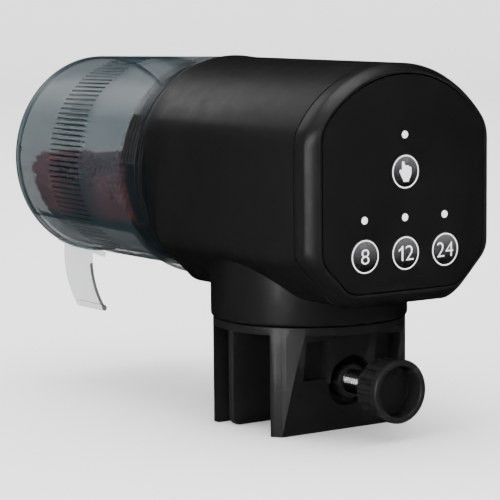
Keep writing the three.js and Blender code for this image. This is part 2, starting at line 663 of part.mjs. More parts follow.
function outputGear() {
  const hub = rod(5.2, OUTPUT_GEAR.front - 1.6, OUTPUT_GEAR.back + 3, 18);
  return cut(join(spurGear(OUTPUT_GEAR, 90), hub), rod(DRIVE_SHAFT.radius + GAP, 20, 40, 18));
}

function shaftBush() {
  const bore = DRIVE_SHAFT.radius + GAP;
  const profile = [
    [bore, BULKHEAD.front - 1.9],
    [7.6, BULKHEAD.front - 1.9],
    [7.6, BULKHEAD.front - GAP],
    [5.7, BULKHEAD.front - GAP],
    [5.7, BULKHEAD.back + 0.2],
    [bore, BULKHEAD.back + 0.2],
  ];
  return turned(profile, 24);
}

// A three-pronged coupling on the shaft's end carries the drum's lid round.
function driveDog() {
  const prongs = DOG.angles.map((angle) => {
    const [x, z] = onCircle(DOG.pitchRadius, angle);
    return rod(DOG.prongRadius, 40, 44, 12, x, z);
  });
  const shaftHole = rod(DRIVE_SHAFT.radius + GAP, 37, DRIVE_SHAFT.end + GAP, 16);
  return cut(join(rod(9.8, 38.5, 40.5, 24), ...prongs), shaftHole);
}

const pinionTurn = 180 / PINION.teeth;
const motorPinion = cut(spurGear(PINION, pinionTurn), rod(MOTOR_SHAFT.radius + GAP, 15, 30, 10));
const idlerPin = rod(1.5, BRACKET.front + 0.2, BULKHEAD.front + GAP, 12);
const driveShaft = rod(DRIVE_SHAFT.radius, DRIVE_SHAFT.start, DRIVE_SHAFT.end, 18);
const drivePieces = [
  placed(named('motor_pinion', motorPinion, brass), MOTOR_CENTRE[0], 0, MOTOR_CENTRE[1]),
  placed(named('gear_motor', gearMotor(), steel), MOTOR_CENTRE[0], 0, MOTOR_CENTRE[1]),
  placed(named('idler_gear', idlerGear(), whitePlastic), IDLER_CENTRE[0], 0, IDLER_CENTRE[1]),
  placed(named('idler_pin', idlerPin, steel), IDLER_CENTRE[0], 0, IDLER_CENTRE[1]),
  named('output_gear', outputGear(), whitePlastic),
  named('motor_bracket', motorBracket(), greyPlastic),
  named('rear_bulkhead', rearBulkhead(), blackPlastic),
  named('shaft_bush', shaftBush(), whitePlastic),
  named('drive_shaft', driveShaft, steel),
  named('drive_dog', driveDog(), greyPlastic),
];
aboutDrumAxis.add(...drivePieces);
BULKHEAD_SCREWS.forEach(([x, z], i) => {
  const screw = screwAlongY(1.9, 0.6, 1.1, BULKHEAD.back, 33.9);
  aboutDrumAxis.add(placed(named(`bulkhead_screw_${i + 1}`, screw, steel), x, 0, z));
});
PILLARS.forEach(([x, z], i) => {
  const screw = screwAlongY(1.9, 0.6, 1.1, BULKHEAD.back, BULKHEAD.front - 6);
  aboutDrumAxis.add(placed(named(`bracket_screw_${i + 1}`, screw, steel), x, 0, z));
});

// ---- the food drum ----------------------------------------------------------------------------
const DRUM_SEGMENTS = 40;

// The drum's outer radius, which tapers slightly towards the closed end.
function drumRadius(y) {
  const share = (y - DRUM.front) / (DRUM.back - DRUM.front);
  return DRUM.frontRadius + (DRUM.backRadius - DRUM.frontRadius) * share;
}

// A closed drum shape inset from the outside, with a rounded rear corner.
function drumBody(inset, front, back) {
  const corner = 2.4;
  const backRadius = drumRadius(back) - inset;
  const profile = [[0, front], [drumRadius(front) - inset, front], [backRadius, back - corner]];
  for (const angle of [30, 60, 90]) {
    const r = backRadius - corner + corner * Math.cos(radians(angle));
    profile.push([r, back - corner + corner * Math.sin(radians(angle))]);
  }
  profile.push([0, back]);
  return turned(profile, DRUM_SEGMENTS);
}

const RECESS_FLOOR = drumRadius((RECESS.front + RECESS.back) / 2) - RECESS.depth;
const SLIDER = { outer: RECESS_FLOOR + 1.5, inner: RECESS_FLOOR + GAP, low: -48, high: RECESS.high - 0.6 };

function foodDrum() {
  const wall = 1.4;
  const recess = curvedPlate(RECESS_FLOOR, 40, RECESS.low, RECESS.high, RECESS.front, RECESS.back);
  const recessBacking = curvedPlate(
    RECESS_FLOOR - wall,
    40,
    RECESS.low - 3,
    RECESS.high + 3,
    RECESS.front - wall,
    RECESS.back + wall,
  );
  const outer = cut(drumBody(0, DRUM.front, DRUM.back), recess);
  const inner = cut(drumBody(DRUM.wall, DRUM.front - 1, DRUM.back - DRUM.endWall), recessBacking);
  const port = curvedPlate(20, 40, PORT.low, PORT.high, PORT.front, PORT.back);
  const tabSeat = curvedPlate(
    drumRadius(LOCK_TAB.front) - 0.9,
    40,
    LOCK_TAB.low - 0.6,
    LOCK_TAB.high + 0.6,
    DRUM.front - 1,
    LOCK_TAB.back + GAP,
  );
  return cut(outer, inner, port, tabSeat);
}

// The lock tab marks where the drum turns to come off its lid. Its ridges run round the drum.
function lockTab() {
  const { front, back, low, high } = LOCK_TAB;
  const surface = drumRadius(front);
  const pad = curvedPlate(surface - 0.6, surface, low, high, front, back);
  const ridges = [0, 1, 2, 3].map((i) => {
    const y = front + 0.7 + i * 1.75;
    return curvedPlate(surface - 0.3, surface + 0.4, low, high, y, y + 0.8);
  });
  return join(pad, ...ridges);
}

const LID = {
  front: 38.5,
  web: 40.9,
  webBack: 42.4,
  sealFront: 43,
  sealBack: 44.4,
  plugBack: 47.5,
  hubRadius: 10.4,
};

function drumLid() {
  const rim = drumRadius(DRUM.front);
  const plug = rim - DRUM.wall - GAP;
  const body = turned(
    [
      [LID.hubRadius, LID.front],
      [rim, LID.front],
      [rim, DRUM.front - GAP],
      [plug, DRUM.front - GAP],
      [plug, LID.sealFront],
      [plug - 1, LID.sealFront],
      [plug - 1, LID.sealBack],
      [plug, LID.sealBack],
      [plug, LID.plugBack],
      [plug - 2.4, LID.plugBack],
      [plug - 2.4, LID.webBack],
      [0, LID.webBack],
      [0, LID.web],
      [LID.hubRadius, LID.web],
    ],
    DRUM_SEGMENTS,
  );
  const socketRadius = DOG.prongRadius + 0.4;
  const sockets = DOG.angles.map((angle) => {
    const [x, z] = onCircle(DOG.pitchRadius, angle);
    return rod(socketRadius, LID.front, LID.webBack + 1, 12, x, z);
  });
  return cut(body, ...sockets);
}

function lidSeal() {
  const outside = drumRadius(DRUM.front) - DRUM.wall - GAP;
  const front = LID.sealFront + GAP;
  const back = LID.sealBack - GAP;
  const inside = outside - 0.7;
  return turned([[inside, front], [outside, front], [outside, back], [inside, back]], DRUM_SEGMENTS);
}

function outletSlider() {
  const along = [RECESS.front + GAP, RECESS.back - GAP];
  const shell = curvedPlate(SLIDER.inner, SLIDER.outer, SLIDER.low, SLIDER.high, ...along);
  const port = curvedPlate(20, 40, PORT.low, PORT.high, PORT.front, PORT.back);
  return cut(shell, port);
}

// The chute is a clear blade whose foot lies on the slider beside the port; it curves under the drum.
// A low web stands on the slider along the port's front edge.
function chuteBlade() {
  const { front, back, angle, radius, bottom, thickness } = CHUTE;
  const footHeight = SLIDER.outer + GAP;
  const [footX, footZ] = around(footHeight, angle);
  const centre = [footX - 0.9 + radius, -32];
  const steps = 9;
  const start = Math.asin((footZ - centre[1]) / radius);
  const end = Math.asin((bottom - centre[1]) / radius);
  const blade = (r) =>
    Array.from({ length: steps + 1 }, (_, i) => {
      const a = start + ((end - start) * i) / steps;
      return [centre[0] - r * Math.cos(a), centre[1] + r * Math.sin(a)];
    });
  const faces = [...blade(radius + thickness / 2), ...blade(radius - thickness / 2).reverse()];
  const leaf = extrudedAlongY(faces, front, back);
  const foot = curvedPlate(footHeight, footHeight + 0.9, angle - 1.2, angle + 6.5, front, back);
  const web = curvedPlate(footHeight, footHeight + 1.8, angle - 13, angle, front, front + 0.8);
  return join(leaf, foot, web);
}

aboutDrumAxis.add(
  named('food_drum', foodDrum(), smokePlastic),
  named('lock_tab', lockTab(), blackPlastic),
  named('drum_lid', drumLid(), blackPlastic),
  named('lid_seal', lidSeal(), rubber),
  named('outlet_slider', outletSlider(), smokePlastic),
  named('chute_blade', chuteBlade(), clearPlastic),
);

export default feeder;
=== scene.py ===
"""The looks of a clamp-on automatic fish feeder: black shells, a printed panel, a clear drum and a clamp."""

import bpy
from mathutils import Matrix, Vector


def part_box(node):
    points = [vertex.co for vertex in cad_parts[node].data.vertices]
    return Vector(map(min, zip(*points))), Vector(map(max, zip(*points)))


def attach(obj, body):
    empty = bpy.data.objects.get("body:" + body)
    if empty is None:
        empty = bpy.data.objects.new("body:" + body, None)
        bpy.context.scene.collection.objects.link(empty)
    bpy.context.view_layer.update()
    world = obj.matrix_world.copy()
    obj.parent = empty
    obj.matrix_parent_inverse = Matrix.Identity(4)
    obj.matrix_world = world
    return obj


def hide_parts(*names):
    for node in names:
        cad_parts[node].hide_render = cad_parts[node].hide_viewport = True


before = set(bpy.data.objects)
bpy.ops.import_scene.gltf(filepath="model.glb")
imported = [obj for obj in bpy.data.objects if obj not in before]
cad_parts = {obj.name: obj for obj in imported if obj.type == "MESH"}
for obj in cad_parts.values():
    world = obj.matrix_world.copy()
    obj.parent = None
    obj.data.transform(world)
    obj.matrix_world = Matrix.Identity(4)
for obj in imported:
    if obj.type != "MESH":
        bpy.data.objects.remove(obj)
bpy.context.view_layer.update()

import math
import random

import bmesh
import bpy
from mathutils import Matrix, Vector

# ---- sizes, in millimetres in the row frame ----------------------------------------------------
MM = 0.001
X, Y, Z = 0, 1, 2
GAP = 0.3


def span(node, axis):
    """A CAD node's lowest and highest value along an axis, in millimetres."""
    low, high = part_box(node)
    return low[axis] / MM, high[axis] / MM


AXIS_HEIGHT = sum(span("rear_bulkhead", Z)) / 2
DRUM_AXIS = (0, 0, AXIS_HEIGHT)
PANEL_Y = span("control_panel", Y)[0]
BEVEL_Y = PANEL_Y + 3.4
SEAM_Y = (span("front_bezel", Y)[1] + span("housing_shell", Y)[0]) / 2
REAR_Y = span("housing_shell", Y)[1]
FLAT_END_Y = REAR_Y - 5.8
RIM_RADIUS = 34
WALL = 2
BODY = dict(half_width=31.8, arch_radius=35.7, arch_centre=-2.1, corner_sum=50.8, floor=-32.4)
PANEL = dict(half_width=27.9, arch_radius=33.6, arch_centre=-2.9, corner_sum=47, floor=-28.4)

BASE_RADIUS, BASE_THICKNESS = 27.9, 2.4
NECK_RADIUS = 28.5
NECK_BOTTOM = span("housing_shell", Z)[0]
JAW_BOTTOM = span("clamp_base", Z)[0]
SCREW_HEIGHT = -14.5
SCREW_AXIS = (0, 0, SCREW_HEIGHT)
JAW_BACK = -14.2
BOSS_RADIUS, BOSS_FRONT = 4.85, -20.8
PLATE_FRONT, PLATE_BACK = 5.6, span("pressure_plate", Y)[1]
KNOB_FRONT, KNOB_BACK = span("screw_knob", Y)

DRUM_FRONT, DRUM_BACK = span("food_drum", Y)
DRUM_FRONT_RADIUS, DRUM_BACK_RADIUS = 33.5, 32
RECESS = dict(front=52.3, back=114.2, low=-80, high=55, depth=2.6)
PORT = dict(front=97.3, back=112.3, low=-8, high=20)
RIB_BAND = (75.05, 93.35)
RIB_PITCH = 3  # degrees
RIB_DEPTH = 0.38
# where the painted shadow of the housing on the drum ends
COLLAR_SHADOW_BACK = 50.5


def drum_radius(y):
    share = (y - DRUM_FRONT) / (DRUM_BACK - DRUM_FRONT)
    return DRUM_FRONT_RADIUS + (DRUM_BACK_RADIUS - DRUM_FRONT_RADIUS) * share


RECESS_FLOOR = drum_radius((RECESS["front"] + RECESS["back"]) / 2) - RECESS["depth"]
SLIDER_OUTER = RECESS_FLOOR + 1.5
DRUM_WALL, RECESS_WALL = 1.6, 1.4
HALF_WALL = 0.9  # a little over half, so that it parts the wall's two sides on every facet


# ---- mesh building -------------------------------------------------------------------------------
def new_object(name, data):
    thing = bpy.data.objects.new(name, data)
    bpy.context.collection.objects.link(thing)
    return thing


def edit(mesh, change):
    """Runs a change on a mesh opened for editing, and points its faces out."""
    shape = bmesh.new()
    shape.from_mesh(mesh)
    change(shape)
    bmesh.ops.recalc_face_normals(shape, faces=shape.faces)
    shape.to_mesh(mesh)
    shape.free()


def mesh_piece(name, vertices, faces):
    """A new object from points in millimetres, with its faces pointing out."""
    mesh = bpy.data.meshes.new(name)
    mesh.from_pydata([[value * MM for value in vertex] for vertex in vertices], [], faces)
    edit(mesh, lambda shape: None)
    return new_object(name, mesh)


def corner(before, at, after, steps=6):
    """The points of a soft corner from one point to another, bent towards a third."""
    points = []
    for i in range(steps + 1):
        t = i / steps
        weights = ((1 - t) ** 2, 2 * t * (1 - t), t * t)
        points.append(tuple(sum(w * p[k] for w, p in zip(weights, (before, at, after))) for k in (0, 1)))
    return points


def soften(points, reach=0.0, closed=True, steps=4):
    """A polyline with its corners curved. A point's third value, if it has one, is its own reach."""
    out = []
    for i, point in enumerate(points):
        at = Vector(point[:2])
        own = point[2] if len(point) > 2 else reach
        if own == 0 or (not closed and i in (0, len(points) - 1)):
            out.append(tuple(at))
            continue
        to_last = Vector(points[i - 1][:2]) - at
        to_next = Vector(points[(i + 1) % len(points)][:2]) - at
        leg = min(own, 0.48 * to_last.length, 0.48 * to_next.length)
        out += corner(at + to_last.normalized() * leg, at, at + to_next.normalized() * leg, steps)
    return out


def lathe(name, profile, centre=(0, 0, 0), axis=Y, steps=96, closed=True, dip=None):
    """A profile of (radius, distance along the axis) points, turned about an axis through centre.

    Where a point's third value is true, dip gives what comes off the radius at a share of the turn.
    """
    vertices, rows = [], []
    for radius, along, *dipped in profile:
        first = len(vertices)
        count = 1 if radius < 1e-6 else steps
        rows.append([first + (k if count > 1 else 0) for k in range(steps)])
        for k in range(count):
            angle = 2 * math.pi * k / steps
            r = radius - (dip(k / steps) if any(dipped) else 0)
            point = place(r * math.cos(angle), r * math.sin(angle), along, axis)
            vertices.append([c + p for c, p in zip(centre, point)])
    return mesh_piece(name, vertices, ring_faces(rows, closed))


def ring_faces(rows, closed):
    """The faces between rows of vertex numbers that each go once round."""
    faces = []
    pairs = list(zip(rows, rows[1:] + rows[:1])) if closed else list(zip(rows, rows[1:]))
    for a, b in pairs:
        for k in range(len(a)):
            n = (k + 1) % len(a)
            face = list(dict.fromkeys([a[k], a[n], b[n], b[k]]))
            if len(face) > 2:
                faces.append(face)
    return faces


def loft(name, rings, closed=False):
    """Rings of (x, y, z) points with equal counts, joined in turn; an open loft gets flat ends."""
    count = len(rings[0])
    rows = [[r * count + k for k in range(count)] for r in range(len(rings))]
    faces = ring_faces(rows, closed)
    if not closed:
        faces += [rows[0], rows[-1]]
    return mesh_piece(name, [point for ring in rings for point in ring], faces)


def place(u, v, along, axis):
    """A point from its place in an outline and its distance along the extrusion's axis."""
    return {X: (along, u, v), Y: (u, along, v), Z: (u, v, along)}[axis]


def extrude(name, outline, low, high, axis):
    return loft(name, [[place(u, v, along, axis) for u, v in outline] for along in (low, high)])


def bake(piece):
    """Puts the modifiers' result into the mesh."""
    graph = bpy.context.evaluated_depsgraph_get()
    result = bpy.data.meshes.new_from_object(piece.evaluated_get(graph))
    piece.modifiers.clear()
    piece.data = result
    return piece


def combine(piece, others, operation):
    """Joins others to a piece, cuts them from it or keeps what is in them all, and deletes them."""
    for other in others:
        modifier = piece.modifiers.new(operation.lower(), "BOOLEAN")
        modifier.object, modifier.operation, modifier.solver = other, operation, "EXACT"
    bake(piece)
    for other in others:
        bpy.data.objects.remove(other, do_unlink=True)
    return piece


def round_edges(piece, width, angle=35, segments=2):
    modifier = piece.modifiers.new("edges", "BEVEL")
    modifier.width, modifier.segments = width * MM, segments
    modifier.limit_method, modifier.angle_limit = "ANGLE", math.radians(angle)
    return bake(piece)


def rod(radius, low, high, x=0, z=0, steps=64, edge=0):
    profile = soften([(0, low, 0), (radius, low), (radius, high), (0, high, 0)], edge)
    return lathe("rod", profile, (x, 0, z), Y, steps)


def post(name, radius, low, high, steps):
    """An upright cylinder on the swivel axis, from one height to another."""
    return lathe(name, [(0, low), (radius, low), (radius, high), (0, high)], axis=Z, steps=steps)


def block(name, low, high, edge=0):
    outline = [(low[X], low[Z]), (high[X], low[Z]), (high[X], high[Z]), (low[X], high[Z])]
    box = extrude(name, outline, low[Y], high[Y], Y)
    return round_edges(box, edge) if edge else box


# ---- materials ---------------------------------------------------------------------------------
class Nodes:
    """Short calls for building one material's node tree."""

    def __init__(self, name):
        self.material = bpy.data.materials.new(name)
        self.material.use_nodes = True
        self.tree = self.material.node_tree
        self.shader = self.tree.nodes["Principled BSDF"]
        self.place = self.tree.nodes.new("ShaderNodeTexCoord").outputs["Object"]

    def feed(self, socket, value):
        """Sets a socket to a number or a colour, or links another node's output to it."""
        if isinstance(value, (int, float)):
            socket.default_value = value
        elif isinstance(value, (tuple, list)):
            socket.default_value = (*value, 1)
        else:
            self.tree.links.new(value, socket)

    def add(self, kind, **values):
        node = self.tree.nodes.new(kind)
        for key, value in values.items():
            self.feed(node.inputs[key.replace("_", " ")], value)
        return node

    def math(self, operation, *values):
        node = self.tree.nodes.new("ShaderNodeMath")
        node.operation = operation
        for socket, value in zip(node.inputs, values):
            self.feed(socket, value)
        return node.outputs[0]

    def noise(self, size, detail=3.0, roughness=0.55):
        """Noise whose features are about size millimetres across."""
        scale = 1 / (size * MM)
        values = dict(Vector=self.place, Scale=scale, Detail=detail, Roughness=roughness)
        return self.add("ShaderNodeTexNoise", **values).outputs["Fac"]

    def between(self, source, low, high, start=0.3, end=0.7):
        """The source's stretch from start to end, spread from low to high."""
        values = dict(Value=source, From_Min=start, From_Max=end, To_Min=low, To_Max=high)
        return self.add("ShaderNodeMapRange", **values).outputs["Result"]

    def mix(self, factor, a, b):
        node = self.tree.nodes.new("ShaderNodeMix")
        node.data_type = "RGBA"
        for key, value in ((0, factor), (6, a), (7, b)):
            self.feed(node.inputs[key], value)
        return node.outputs[2]

    def bump(self, height, depth):
        """Relief whose full height is depth millimetres."""
        node = self.add("ShaderNodeBump", Height=height, Distance=depth * MM, Strength=1.0)
        self.set("Normal", node.outputs["Normal"])

    def set(self, key, value):
        self.feed(self.shader.inputs[key], value)

    def parts(self):
        """The object coordinates x, y and z, in metres."""
        return self.add("ShaderNodeSeparateXYZ", Vector=self.place).outputs


def moulded(name, colour, roughness, grain=0.35, relief=0.012, specular=0.4, edge=0.0, fleck=0.12):
    """Moulded plastic: a fine grain, faint flow variation and painted highlights on sharp edges."""
    nodes = Nodes(name)
    flow = nodes.noise(14, 4)
    fine = nodes.noise(grain, 3, 0.6)
    darker = [channel * (1 - fleck) for channel in colour]
    lighter = [min(1, channel * (1 + fleck)) for channel in colour]
    base = nodes.mix(nodes.between(flow, 0, 1), darker, lighter)
    # painted highlight: a lighter colour on sharp edges
    if edge:
        edge_highlight = nodes.add("ShaderNodeNewGeometry").outputs["Pointiness"]
        edge_highlight_colour = [min(1, channel * 2 + 0.006) for channel in colour]
        base = nodes.mix(nodes.math("MULTIPLY", nodes.between(edge_highlight, 0, 1, 0.52, 0.6), edge), base, edge_highlight_colour)
    nodes.set("Base Color", base)
    nodes.set("Roughness", nodes.between(nodes.noise(5, 5), roughness - 0.05, roughness + 0.06))
    nodes.set("Specular IOR Level", specular)
    nodes.bump(fine, relief)
    return nodes.material


def metal(name, colour, roughness):
    """Worked metal with fine tool marks and faint stains."""
    nodes = Nodes(name)
    marks = nodes.noise(0.3, 6, 0.7)
    stain = nodes.between(nodes.noise(3, 4), 0.86, 1.06)
    tinted = nodes.add("ShaderNodeHueSaturation", Value=stain, Color=colour)
    nodes.set("Base Color", tinted.outputs["Color"])
    nodes.set("Metallic", 1.0)
    nodes.set("Roughness", nodes.between(marks, roughness - 0.07, roughness + 0.1))
    nodes.set("Anisotropic", 0.3)
    nodes.bump(marks, 0.01)
    return nodes.material


def print_ink(name, colour):
    nodes = Nodes(name)
    speck = nodes.noise(0.12, 2)
    nodes.set("Base Color", nodes.mix(nodes.between(speck, 0, 1), [c * 0.93 for c in colour], colour))
    nodes.set("Roughness", 0.45)
    nodes.bump(speck, 0.004)
    return nodes.material


def shaded_button_face(name, top, bottom, low, high):
    """A glossy button with painted shade that runs from grey at the top to black at the bottom."""
    nodes = Nodes(name)
    height = nodes.parts()["Z"]
    # painted shade: lighter at the top, darker at the bottom
    painted_shade_grade = nodes.between(height, 0, 1, low * MM, high * MM)
    dither = nodes.between(nodes.noise(0.2, 2), -0.03, 0.03)
    base = nodes.mix(nodes.math("ADD", nodes.math("POWER", painted_shade_grade, 1.5), dither), bottom, top)
    nodes.set("Base Color", base)
    nodes.set("Roughness", nodes.between(nodes.noise(2, 4), 0.2, 0.3))
    nodes.set("Specular IOR Level", 0.35)
    nodes.bump(nodes.noise(0.3, 2), 0.003)
    return nodes.material


def clear(name, colour, opacity, roughness, shade_colour, shade_mask, solid=0.92, skin=None, lower_shade=1.0):
    """Thin clear plastic, made darker and as solid as stated where shade is painted, and see-through off the
    skin.

    The last argument, when below 1, darkens the lower half of the drum with painted shade, so that the top
    looks lighter.
    """
    nodes = Nodes(name)
    flow = nodes.between(nodes.noise(9, 4), 0.95, 1.05)
    # painted shade: the tint grows darker towards the bottom of the drum
    if lower_shade < 1:
        lower_shade_ramp = nodes.between(nodes.parts()["Z"], lower_shade, 1, (AXIS_HEIGHT - 12) * MM, (AXIS_HEIGHT + 12) * MM)
        flow = nodes.math("MULTIPLY", flow, lower_shade_ramp)
    tinted = nodes.add("ShaderNodeHueSaturation", Value=flow, Color=colour).outputs["Color"]
    alpha = nodes.between(nodes.noise(25, 2), opacity - 0.02, opacity + 0.02)
    if skin:
        alpha = nodes.math("MULTIPLY", alpha, skin(nodes))
    # where shade is painted: a dark colour, more solid and less glossy
    painted_shade = shade_mask(nodes)
    nodes.set("Base Color", nodes.mix(painted_shade, tinted, shade_colour))
    nodes.set("Alpha", nodes.math("MAXIMUM", alpha, nodes.math("MULTIPLY", painted_shade, solid)))
    nodes.set("Specular IOR Level", nodes.math("SUBTRACT", 0.5, nodes.math("MULTIPLY", painted_shade, 0.4)))
    nodes.set("Roughness", nodes.between(nodes.noise(1.5, 4), roughness - 0.02, roughness + 0.03))
    nodes.bump(nodes.noise(6, 2), 0.01)
    return nodes.material


def from_axis(nodes):
    """The distance from the drum's axis."""
    parts = nodes.parts()
    height = nodes.math("SUBTRACT", parts["Z"], AXIS_HEIGHT * MM)
    squares = nodes.math("MULTIPLY", parts["X"], parts["X"]), nodes.math("MULTIPLY", height, height)
    return nodes.math("POWER", nodes.math("ADD", *squares), 0.5)


def wall_skin(nodes):
    """1 on the drum's outer skin and in its recess, 0 on its inner side."""
    limits = (DRUM_FRONT_RADIUS - HALF_WALL) * MM, (DRUM_BACK_RADIUS - HALF_WALL) * MM
    edge = nodes.between(nodes.parts()["Y"], *limits, DRUM_FRONT * MM, DRUM_BACK * MM)
    distance = from_axis(nodes)
    recess = nodes.math("COMPARE", distance, RECESS_FLOOR * MM, 0.3 * MM)
    return nodes.math("MAXIMUM", recess, nodes.math("GREATER_THAN", distance, edge))


def end_skin(nodes):
    """1 on the closed end's outer side, 0 on its inner side."""
    flat = nodes.math("GREATER_THAN", nodes.parts()["Y"], (DRUM_BACK - HALF_WALL) * MM)
    side = nodes.math("GREATER_THAN", from_axis(nodes), (DRUM_BACK_RADIUS - HALF_WALL) * MM)
    return nodes.math("MAXIMUM", flat, side)


def slider_skin(nodes):
    """1 on the slider's outer side, 0 on its inner side."""
    return nodes.math("GREATER_THAN", from_axis(nodes), (SLIDER_OUTER - 0.7) * MM)


def thick_rim_shade(nodes):
    """1 on the thick rim round the drum's closed end, where the dark seen through its thickness is painted as
    shade.
    """
    outside = nodes.math("GREATER_THAN", from_axis(nodes), (DRUM_BACK_RADIUS - HALF_WALL) * MM)
    behind = nodes.math("GREATER_THAN", nodes.parts()["Y"], (DRUM_BACK - 1.1) * MM)
    return nodes.math("MULTIPLY", outside, behind)


def chute_edge_shade(nodes):
    """1 on the chute's edge nearest the housing, below the drum, where the dark slit is painted as shade."""
    parts = nodes.parts()
    near = nodes.math("LESS_THAN", parts["Y"], (span("chute_blade", Y)[0] + 0.55) * MM)
    return nodes.math("MULTIPLY", near, nodes.math("LESS_THAN", parts["Z"], (AXIS_HEIGHT - 33.4) * MM))


def groove_and_collar_shade(nodes):
    """1 in the grooves between the ribs, where shade is painted, and, fading out, on the collar at the drum's
    open end, where the housing's shadow is painted.
    """
    parts = nodes.parts()
    height = nodes.math("SUBTRACT", parts["Z"], AXIS_HEIGHT * MM)
    turns = nodes.math("DIVIDE", nodes.math("ARCTAN2", parts["X"], height), math.radians(RIB_PITCH))
    phase = nodes.math("ABSOLUTE", nodes.math("SUBTRACT", nodes.math("FRACT", turns), 0.5))
    # painted shade: a dark line along each groove between the ribs
    line = nodes.between(phase, 1, 0, 0.1, 0.17)
    band_middle = sum(RIB_BAND) / 2
    away = nodes.math("ABSOLUTE", nodes.math("SUBTRACT", parts["Y"], band_middle * MM))
    half_band = (RIB_BAND[1] - RIB_BAND[0]) / 2
    in_band = nodes.math("MULTIPLY", line, nodes.math("LESS_THAN", away, half_band * MM))
    distance = from_axis(nodes)
    on_wall = nodes.math("GREATER_THAN", distance, (drum_radius(band_middle) - HALF_WALL) * MM)
    on_slider = nodes.math("COMPARE", distance, (SLIDER_OUTER - 0.2) * MM, 0.45 * MM)
    # the painted groove shade, on the drum wall and on the slider
    ribs = nodes.math("MULTIPLY", in_band, nodes.math("MAXIMUM", on_wall, on_slider))
    # painted shadow of the housing on the drum's collar, fading out away from the housing
    collar_shadow = nodes.between(parts["Y"], 0.85, 0, (COLLAR_SHADOW_BACK - 2.5) * MM, COLLAR_SHADOW_BACK * MM)
    return nodes.math("MAXIMUM", ribs, nodes.math("MULTIPLY", collar_shadow, on_wall))


BLACK = (0.0056, 0.0056, 0.0058)
housing_black = moulded("housing_black", BLACK, 0.4, specular=0.3, edge=0.5)
panel_black = moulded("panel_black", (0.0055, 0.0055, 0.0057), 0.45, grain=0.2, relief=0.004, specular=0.2)
clamp_black = moulded("clamp_black", (0.0078, 0.0078, 0.008), 0.42, specular=0.3, edge=0.5)
knob_black = moulded("knob_black", (0.0095, 0.0095, 0.0097), 0.36, specular=0.35, edge=0.5)
lid_black = moulded("lid_black", (0.006, 0.0068, 0.0075), 0.4, specular=0.3)
# edge=0.9 paints brighter highlights on the ridges' edges
lock_black = moulded("lock_black", (0.0085, 0.0092, 0.0098), 0.42, specular=0.25, edge=0.9)
tray_black = moulded("tray_black", (0.02, 0.02, 0.021), 0.5)
switch_grey = moulded("switch_grey", (0.12, 0.125, 0.13), 0.5)
gear_white = moulded("gear_white", (0.74, 0.74, 0.7), 0.45, relief=0.006)
board_green = moulded("board_green", (0.015, 0.1, 0.05), 0.35, grain=0.6, relief=0.02)
cell_wrap = moulded("cell_wrap", (0.06, 0.09, 0.14), 0.25, relief=0.004)
seal_rubber = moulded("seal_rubber", (0.018, 0.018, 0.018), 0.75, relief=0.02)
food_red = moulded("food_red", (0.35, 0.1, 0.105), 0.8, grain=0.5, relief=0.1, specular=0.2, fleck=0.5)
white_ink = print_ink("white_ink", (0.88, 0.88, 0.88))
light_white = print_ink("light_white", (0.92, 0.92, 0.91))
steel = metal("steel", (0.72, 0.72, 0.72), 0.2)
nickel = metal("nickel", (0.7, 0.68, 0.64), 0.28)
motor_steel = metal("motor_steel", (0.5, 0.51, 0.52), 0.32)
brass = metal("brass", (0.66, 0.48, 0.2), 0.3)
SMOKE = (0.0145, 0.031, 0.038)
# the dark colour of the painted shade in the rib grooves and of the painted shadow on the collar
GROOVE_SHADE = (0.004, 0.006, 0.007)
# the last 0.65 here and on the closed end paints shade on the drum's lower half
smoke_clear = clear("smoke_clear", SMOKE, 0.75, 0.3, GROOVE_SHADE, groove_and_collar_shade, 0.95, wall_skin, 0.65)
# a lighter copy of the drum's smoke tint: the extra lightness is a painted reflection of the floor
SLIDER_WITH_REFLECTION = (0.05, 0.06, 0.065)
slider_clear = clear("slider_clear", SLIDER_WITH_REFLECTION, 0.66, 0.34, GROOVE_SHADE, groove_and_collar_shade, 0.95, slider_skin)
# the closed end's thick rim is painted dark as shade
smoke_end = clear("smoke_end", SMOKE, 0.75, 0.3, (0.006, 0.008, 0.009), thick_rim_shade, 0.85, end_skin, 0.65)
# the chute's near edge is painted dark as shade
chute_clear = clear("chute_clear", (0.1, 0.125, 0.13), 0.33, 0.12, (0.01, 0.014, 0.016), chute_edge_shade)


def dress(piece, material, body, slot, *nodes, crease=32):
    """Gives a finished piece its material, smooth shading up to a crease angle, body and CAD nodes; slot is
    not used.
    """
    piece.data.materials.clear()
    piece.data.materials.append(material)
    for polygon in piece.data.polygons:
        polygon.use_smooth = True
    piece.data.set_sharp_from_angle(angle=math.radians(crease))
    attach(piece, body)
    if nodes:
        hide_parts(*nodes)
    return piece


# ---- the housing's sections ----------------------------------------------------------------------
def section(shape, inset=0, soft=3.0, arch_steps=72):
    """The outline across the drum's axis: an arch, two sides, two lower corners and a floor."""
    w = shape["half_width"] - inset
    r = shape["arch_radius"] - inset
    floor = shape["floor"] + inset
    corner_sum = shape["corner_sum"] - inset * math.sqrt(2)
    start = math.acos(w / r)
    crease = shape["arch_centre"] + r * math.sin(start)

    def on_arch(angle):
        return r * math.cos(angle), shape["arch_centre"] + r * math.sin(angle)

    first = start + soft / r
    sweep = math.pi - 2 * first
    points = [on_arch(first + sweep * i / arch_steps) for i in range(arch_steps + 1)]
    low = corner_sum - w
    foot = corner_sum + floor
    diagonal = soft / math.sqrt(2)
    half = corner(points[-1], (-w, crease), (-w, crease - soft))[1:]
    half += corner((-w, soft - low), (-w, -low), (-w + diagonal, -low - diagonal))
    half += corner((-foot - diagonal, floor + diagonal), (-foot, floor), (-foot + soft, floor))
    mirrored = [(-x, z) for x, z in reversed(half)]
    return points + half + mirrored


def ring(outline, y):
    return [(x, y, z + AXIS_HEIGHT) for x, z in outline]


